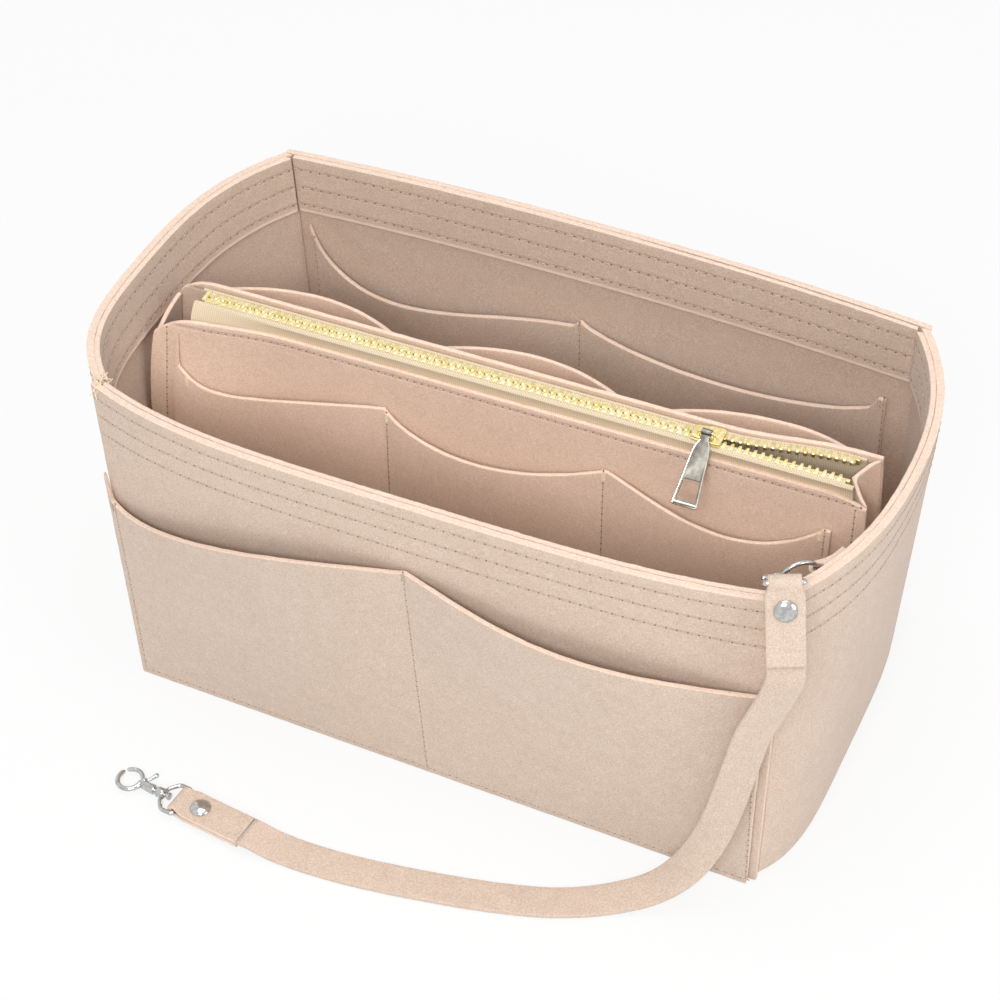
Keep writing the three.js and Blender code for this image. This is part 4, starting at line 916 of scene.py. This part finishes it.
def sewn(name, lines, body, pitch=4.4, length=3.4, thread_size=0.3, hole=0.48):
    points, edges, outward = [], [], []
    for line in lines:
        edges += [(len(points) + at - 1, len(points) + at) for at in range(1, len(line))]
        points += [point for point, _ in line]
        outward += [tuple(normal) for _, normal in line]
    piece = guide(name, points, edges, outward)
    sizes = {"Pitch": pitch, "Length": length, "Thread": thread_size, "Rise": 0.4, "Sink": 0.3, "Hole": hole}
    use_tree(piece, stitches, {"Finish": thread, **{label: size * mm for label, size in sizes.items()}})
    smooth_shaded(piece)
    print(name, "faces:", len(piece.data.polygons))
    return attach(piece, body)


def span(low, high, step=2.0):
    return np.linspace(low, high, max(2, round(abs(high - low) / step) + 1)) * mm


# %% Rows round the rim, outside and inside
outside = target("front_panel", "back_panel", "gusset_strip")
bands = target("front_hem_band", "back_hem_band", "left_hem_band", "right_hem_band")
walls = [(outside, 149.5, 0.3, 82, 0.3, -1), (bands, 147, 0.05, 77, 0.1, 1)]
rim_lines = []
for z in [level * mm for level in rim_rows]:
    for felt_faces, half_length, from_y, half_depth, from_x, heading in walls:
        for side in (-1, 1):
            starts = [(x, side * from_y, z) for x in span(-half_length, half_length)]
            rim_lines += sewing_line(felt_faces, starts, (0, side * heading, 0))
        for side in (-1, 1):
            starts = [(side * from_x, y, z) for y in span(-half_depth, half_depth)]
            rim_lines += sewing_line(felt_faces, starts, (side * heading, 0, 0))
sewn("rim_stitches", rim_lines, "case")

# %% Straight seams, up a wall or along it
def seam(tree, y, points, turn=Matrix.Identity(4)):
    """A row through points (x, z), found by rays that start at y and fly towards y = 0."""
    heading = turn @ Vector((0, -math.copysign(1, y), 0))
    return sewing_line(tree, [turn @ Vector((x, y, z)) for x, z in points], heading)


def upright(x, low, high):
    return [(x * mm, z) for z in span(low, high)]


def level(z, low, high):
    return [(x, z * mm) for x in span(low, high)]


# %% Pocket and edge seams of the case
pocket_front, pocket_back = target("front_pocket_panel"), target("back_pocket_panel")
seam_lines = []
for felt_faces, y, columns, low, high in [(pocket_front, -0.3, (-3.6, -147.5, 146.6), 3, 140),
                                          (pocket_back, -0.02, (-8, -141.2, 137.4), 6, 138),
                                          (outside, 0.3, (-147, 147), 3, 142)]:
    for x in columns:
        seam_lines += seam(felt_faces, y, upright(x, low, high))
seam_lines += seam(pocket_front, -0.3, level(3.5, -146, 146))
seam_lines += seam(outside, 0.3, level(3.5, -146, 146))
sewn("seam_stitches", seam_lines, "case", pitch=3.6, length=2.8, hole=0.42)

# %% Seams of the pouch, which stands a little askew in the case
pouch_turn = Matrix.Rotation(0.0227, 4, "Z")
pouch_front, pouch_back = target("pouch_front_panel"), target("pouch_back_panel")
front_pockets, back_pockets = target("pouch_front_pockets"), target("pouch_back_pockets")
pouch_lines = []
for felt_faces, y, points in [
    (pouch_front, -0.1, level(pouch_rows[0], -142, 155)),
    (pouch_back, 0.1, level(pouch_rows[1], -158, 155)),
    *[(front_pockets, -0.1, upright(x, 8, 152)) for x in (-53.7, 46.9, -155.6, 143.7)],
    *[(back_pockets, 0.1, upright(x, 8, 150)) for x in (-53, 52)],
    *[(tree, y, upright(x, 20, 150)) for x in (-158, 154.5)
      for tree, y in ((pouch_front, -0.1), (pouch_back, 0.1))],
]:
    pouch_lines += seam(felt_faces, y, points, pouch_turn)
sewn("pouch_stitches", pouch_lines, "pouch", pitch=3.4, length=2.9, thread_size=0.25,
     hole=0.44)

# %% [markdown]
# ## Tacks and loose thread
# Where a pocket's mouth meets a seam, the thread runs to and fro a few times, because that is
# where a hand pulls. Each tack is a zigzag of thread laid on the felt. At the front left corner
# the ends of the sewing thread were left standing.

# %% Tacks at the pocket mouths
def tack(tree, start, direction, height=4.5 * mm, half=0.75 * mm, turns=9):
    """A tack just under a mouth: the highest ray that finds the pocket says where the mouth is."""
    starts = [Vector(start) - Vector((0, 0, fall)) for fall in np.arange(0, 60 * mm, 0.5 * mm)]
    found = [at for at, one in enumerate(starts) if tree.ray_cast(one, Vector(direction), ray_reach)[0]]
    under = starts[found[0]] - Vector((0, 0, 0.55 * height))
    hit, normal, _, _ = tree.ray_cast(under, Vector(direction), ray_reach)
    up = (Vector((0, 0, 1)) - normal * normal.z).normalized()
    across = up.cross(normal)
    points = [hit + normal * 0.2 * mm + up * (at / turns - 0.5) * height + across * half * (-1) ** at
              for at in range(turns + 1)]
    return wire(through(points, 3), 0.24 * mm, sides=7)


def loose_ends(root, count, reach, seed):
    """Thread ends from one root, each a short walk that turns at random and sinks."""
    made, chance = [], np.random.default_rng(seed)
    for _ in range(count):
        heading = Vector(chance.normal(0, 1, 3)).normalized() * 0.6 + Vector((0, 0, 0.25))
        points = [Vector(root)]
        for _ in range(4):
            heading += Vector(chance.normal(0, 0.45, 3))
            heading.z = max(heading.z - 0.12, -0.5)
            points.append(points[-1] + heading.normalized() * reach / 4 * mm)
        made.append(wire(through(points, 5), 0.2 * mm, sides=6))
    return made


above_mouths, above_pouch_mouths = 142 * mm, 156 * mm
tacks = [tack(pocket_front, (x * mm, -0.3, above_mouths), (0, 1, 0)) for x in (-3.6, -149.5, 147.5)]
tacks += [tack(pocket_back, (x * mm, -0.02, above_mouths), (0, 1, 0)) for x in (-8, -142, 135.5)]
case_tacks = assembled("case_tacks", tacks, thread)
ends = loose_ends(Vector((-149.8, -85.5, 174)) * mm, count=9, reach=7, seed=3)
thread_ends = assembled("loose_thread_ends", ends, pale_thread)
for piece in (case_tacks, thread_ends):
    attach(piece, "case")
starts = [pouch_turn @ Vector((x * mm, -0.1, above_pouch_mouths)) for x in (-53.7, 46.9, -146.5, 142)]
tacks = [tack(front_pockets, start, pouch_turn @ Vector((0, 1, 0))) for start in starts]
pouch_tacks = assembled("pouch_tacks", tacks, pale_thread)
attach(pouch_tacks, "pouch")

# %% [markdown]
# ## The zipper's teeth
# A metal tooth grips the tape's edge, and its narrow head reaches between the heads of the other
# row. Two rows with the same pitch, half a pitch apart, make the herringbone of the shut zipper.
# Each tooth here is one block with a waist and a head. To the right of the slider the rows part,
# and the back row's line bends away.

# %% The two rows' lines
chain_y, chain_z, slider_x = -4.4, 162.0, 88.5
chain_start, chain_end, tooth_pitch = -143.0, 148.0, 3.3


def eased(value):
    return float(ramp(value, 0, 1))


shut_half, parted, slider_half, opening, opening_run = 2.45, 1.25, 6.6, 6.5, 50


def row_y(side, x):
    """A row's place across the pouch. Past the slider both rows part, and the back one bends away."""
    opened = opening * eased((x - slider_x - slider_half) / opening_run) if side > 0 else 0
    return chain_y + side * (shut_half + parted * eased((x - slider_x + 1) / 5)) + opened


def chain_point(side, x, inset=0):
    return pouch_turn @ Vector((x * mm, (row_y(side, x) - side * inset) * mm, chain_z * mm))


# %% One tooth and its tree
def tooth_mesh():
    """One tooth, its head towards +Y, its foot at the origin; a rounded outline with bevelled edges."""
    outline = mirrored([(-0.85, -0.75), (-0.95, 0.6), (-1.0, 1.7), (-0.62, 2.05), (-0.78, 2.5),
                        (-0.66, 2.95), (-0.3, 3.2)])
    waist = 1.2
    vertices = []
    for height, shrink in ((-1, 0.86), (-0.82, 1), (0.82, 1), (1, 0.86)):
        vertices += [(x * shrink * mm, (waist + (y - waist) * shrink) * mm, height * mm) for x, y in outline]
    return new_piece("tooth", vertices, tube_faces(4, len(outline)), gold)


def tooth_tree():
    graph = new_tree("teeth", Pitch="Float", Tooth="Object", Finish="Material")
    part = graph.make("GeometryNodeObjectInfo", {"transform_space": "ORIGINAL"},
                      {"Object": graph.asked("Tooth")}, "Geometry")
    return repeated(graph, part, jitter=0.0)


# %% Both rows of teeth
tooth, teeth = tooth_mesh(), tooth_tree()
for side, label in ((-1, "front"), (1, "back")):
    first = chain_start + tooth_pitch / 2 + (tooth_pitch / 2 if side > 0 else 0)
    count = int((chain_end - first) / tooth_pitch)
    stops = [first + tooth_pitch * at / 4 for at in range(4 * count + 1)][::-side]
    edges = [(at, at + 1) for at in range(len(stops) - 1)]
    points = [chain_point(side, x) for x in stops]
    row = guide(f"{label}_teeth_metal", points, edges, [(0, 0, 1)] * len(stops))
    use_tree(row, teeth, {"Pitch": tooth_pitch * mm, "Tooth": tooth, "Finish": gold})
    sharpened(row, 40)
    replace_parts(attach(row, "pouch"), f"{label}_zipper_teeth")
    print(label, "teeth faces:", len(row.data.polygons))
bpy.data.objects.remove(tooth)

# %% The cord in each tape's edge, which the teeth grip
stops = np.arange(chain_start - 1, chain_end + 2, 1.5)
for side, label in ((-1, "front"), (1, "back")):
    strands = [wire([chain_point(side, x, inset) for x in stops], 0.82 * mm, sides=10)
               for inset in (1.25, -0.15)]
    cord_edge = assembled(f"{label}_tape_cord", strands, tape_cloth)
    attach(cord_edge, "pouch")


# %% [markdown]
# ## Stops, slider and puller
# Flat metal parts are cut from an outline. A flat curve with a bevel gives a plate with softly
# rounded edges, and a second outline inside it makes a window.

# %% Plates from outlines
def plate(outlines, thickness, edge):
    """Vertices and faces of a flat plate in X and Y; outlines after the first are windows."""
    curve = bpy.data.curves.new("plate", "CURVE")
    curve.dimensions, curve.fill_mode, curve.bevel_resolution = "2D", "BOTH", 2
    curve.extrude, curve.bevel_depth, curve.offset = (thickness / 2 - edge) * mm, edge * mm, -edge * mm
    for outline in outlines:
        spline = curve.splines.new("POLY")
        spline.points.add(len(outline) - 1)
        for point, place in zip(spline.points, outline):
            point.co = (place[0] * mm, place[1] * mm, 0, 1)
        spline.use_cyclic_u = True
    holder = linked("plate", curve)
    mesh = mesh_made_by(holder)
    part = [v.co.copy() for v in mesh.vertices], [tuple(p.vertices) for p in mesh.polygons]
    bpy.data.objects.remove(holder)
    return part


def lifted(part, z):
    return moved(part, Matrix.Translation((0, 0, z * mm)))


# %% Slider
slider_place = pouch_turn @ Matrix.Translation(Vector((slider_x, chain_y, chain_z)) * mm)
near_side = [(-6.6, -3.6), (-2.4, -4.1), (1.5, -5.1), (6.6, -5.2)]
shield = rounded_outline([*near_side, *[(x, -y) for x, y in reversed(near_side)]], 1.6)
parts = [lifted(plate([shield], thickness=1.0, edge=0.28), height) for height in (1.8, -1.8)]
for side in (-1, 1):
    rail = [(-6.2, 3.85), (-2.4, 4.15), (1.5, 4.75), (6.2, 4.85)]
    line = smooth_line([(x, side * y, 0) for x, y in rail], 8, 0.8)
    parts += [lifted(wire(line * mm, 0.42 * mm, sides=8), height) for height in (-1.05, 1.05)]
post = rounded_outline([(3.2, 0), (4.2, -0.5), (6.2, -0.5), (6.2, 0.5), (4.2, 0.5)], 0.3)
arch = mirrored([(-3.6, 2.0), (-3.5, 3.7), (-2.6, 4.75), (-1.2, 4.9)])
bridge = smooth_line([(x, -2.2, z) for x, z in arch], 8, 0.5)
parts += [plate([post], thickness=3.4, edge=0.1), wire(bridge * mm, 0.6 * mm)]
slider = assembled("slider_metal", parts, gold, slider_place)
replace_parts(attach(slider, "slider"), "zipper_slider")

# %% Puller
knuckle_y, knuckle_z, tilt = chain_y - 2.2, chain_z + 4.9, math.radians(38)
puller_place = (pouch_turn @ Matrix.Translation(Vector((slider_x, knuckle_y, knuckle_z)) * mm)
                @ Matrix.Rotation(tilt, 4, "X"))
blade = mirrored([(-1.9, 0.6), (-1.9, -4), (-3.4, -7), (-5.5, -32)])
window = mirrored([(-3.5, -20.5), (-4.2, -29.4)])
face = plate([rounded_outline(blade, 0.9), rounded_outline(window, 0.5)], thickness=1.0, edge=0.25)
knuckle = turned([(-2.2, 1.2), (-2.05, 1.45), (2.05, 1.45), (2.2, 1.2)])
edges = []
for side in (-1, 1):
    rail = [(side * x, y, 0.35) for x, y in [(1.7, -3.6), (3.1, -7), (4.2, -19), (5.2, -31.4)]]
    edges.append(wire(smooth_line(rail, 8, 0.8) * mm, 0.36 * mm, sides=10))
foot, = evenly([(-4.9, -30.7, 0.1), (4.9, -30.7, 0.1)], 0.8)
edges.append(wire(foot * mm, 0.85 * mm, sides=12))
puller = assembled("puller_metal", [face, knuckle], satin, puller_place)
puller_rim = assembled("puller_rim_metal", edges, polished, puller_place)
for piece in (puller, puller_rim):
    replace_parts(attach(piece, "puller"), "zipper_puller")

# %% Zipper stops
for node in ("zipper_bottom_stop", "front_top_stop", "back_top_stop"):
    low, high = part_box(node)
    size, middle = (high - low) / mm, (low + high) / 2
    corners = [(x * size.x / 2, y * size.y / 2) for x, y in ((-1, -1), (1, -1), (1, 1), (-1, 1))]
    block = plate([rounded_outline(corners, 0.5)], thickness=size.z, edge=0.3)
    stop = assembled(node + "_metal", [block], gold, Matrix.Translation(middle))
    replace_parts(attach(stop, "pouch"), node)

# %% [markdown]
# ## Stage and light
# The photograph is a product picture on white. A large floor receives a faint shadow, and the
# white comes from the floor and the world as the camera sees them, not from more light on the
# felt. A broad soft lamp in front, above and a little to the right gives the felt its gentle
# shading. A larger one overhead and a weak one at the right soften what it leaves dark.

# %% Floor, world and lamps
def seen_or_mirrored(graph):
    """1 where the camera looks straight at it or sees it in a mirror, otherwise 0."""
    seen = graph.make("ShaderNodeLightPath", out="Is Camera Ray")
    mirrored_ray = graph.make("ShaderNodeLightPath", out="Is Glossy Ray")
    return (seen + mirrored_ray).step(0.0, 1.0)


def stage_floor(grey, glow_share, reach=6, drop=0.3 * mm):
    material = bpy.data.materials.new("floor")
    graph = emptied(material)
    share = seen_or_mirrored(graph) * glow_share
    matt = graph.make("ShaderNodeBsdfDiffuse", None, {"Color": (grey, grey, grey, 1)})
    glow = graph.make("ShaderNodeEmission", None, {"Color": (1, 1, 1, 1), "Strength": 1.0})
    both = graph.make("ShaderNodeMixShader", None, {0: share, 1: matt, 2: glow})
    graph.make("ShaderNodeOutputMaterial", None, {"Surface": both})
    mesh = bpy.data.meshes.new("floor")
    corners = [(x * reach, y * reach, -drop) for x, y in ((-1, -1), (1, -1), (1, 1), (-1, 1))]
    mesh.from_pydata(corners, [], [(0, 1, 2, 3)])
    mesh.materials.append(material)
    linked("floor", mesh)


def stage_world(strength):
    world = bpy.data.worlds.new("studio")
    graph = emptied(world)
    brightness = seen_or_mirrored(graph) * (1 - strength) + strength
    back = graph.make("ShaderNodeBackground", None, {"Color": (1, 1, 1, 1), "Strength": brightness})
    graph.make("ShaderNodeOutputWorld", None, {"Surface": back})
    bpy.context.scene.world = world


def lamp(name, place, aim, size, power):
    data = bpy.data.lights.new(name, "AREA")
    data.shape, data.size, data.energy = "DISK", size, power
    light = linked(name, data)
    light.location = place
    light.rotation_mode = "QUATERNION"
    light.rotation_quaternion = (Vector(aim) - Vector(place)).to_track_quat("-Z", "Y")
    print(name, "lamp of", power, "watts")


stage_floor(grey=0.78, glow_share=0.83)
stage_world(strength=0.54)
lamp("soft_key", (0.45, -1.6, 1.65), (0, 0, 0.05), 0.9, 27)
lamp("soft_top", (-0.1, 0.0, 2.1), (0, 0, 0.05), 1.4, 14)
lamp("soft_fill", (1.6, -0.4, 0.8), (0, 0, 0.08), 1.0, 6)
bpy.context.scene.view_settings.view_transform = "Standard"

# %% [markdown]
# ## The flat cuts
# Felt and tape were cut flat before they were sewn. Each piece is listed with the width and
# length of its cut in millimetres and the share of that rectangle which it fills, because a pocket
# panel loses a scoop along its mouth, and the share of that cut which the finished piece shows is
# printed. A strip that is bent up at both ends is labelled folded, a label that nothing here uses.

# %% Felt and tape as sheets
cuts = {
    "gusset_strip": (170, 680, 0.99), "front_panel": (176, 307, 0.98), "back_panel": (176, 307, 0.98),
    "front_hem_band": (32, 297, 0.98), "back_hem_band": (31.5, 297, 0.98),
    "left_hem_band": (31, 174, 1.0), "right_hem_band": (31, 174, 1.0),
    "front_pocket_panel": (139, 302, 0.89), "back_pocket_panel": (137, 282, 0.8),
    "anchor_tab": (10, 25, 0.96), "pouch_gusset_strip": (27, 640, 0.98),
    "pouch_front_panel": (156, 326, 0.97), "pouch_back_panel": (161, 326, 0.97),
    "pouch_front_pockets": (149, 300, 0.84), "pouch_back_pockets": (150, 330, 0.94),
    "front_zipper_tape": (18, 300, 1.0), "back_zipper_tape": (18, 300, 1.0),
}
folded_over = {"gusset_strip": "front_panel", "pouch_gusset_strip": "pouch_front_panel",
               "anchor_tab": "front_hem_band"}
for node, (width, length, share) in cuts.items():
    cut_area = width * mm * length * mm * share
    held = "folded" if node in folded_over else "stretched"
    gusset = "pouch_gusset_strip" if "pouch" in node or "tape" in node else "gusset_strip"
    half_area = sum(p.area for p in felt_pieces[node].data.polygons) / 2
    print(node, "shows", round(half_area / cut_area, 2), "of its cut")
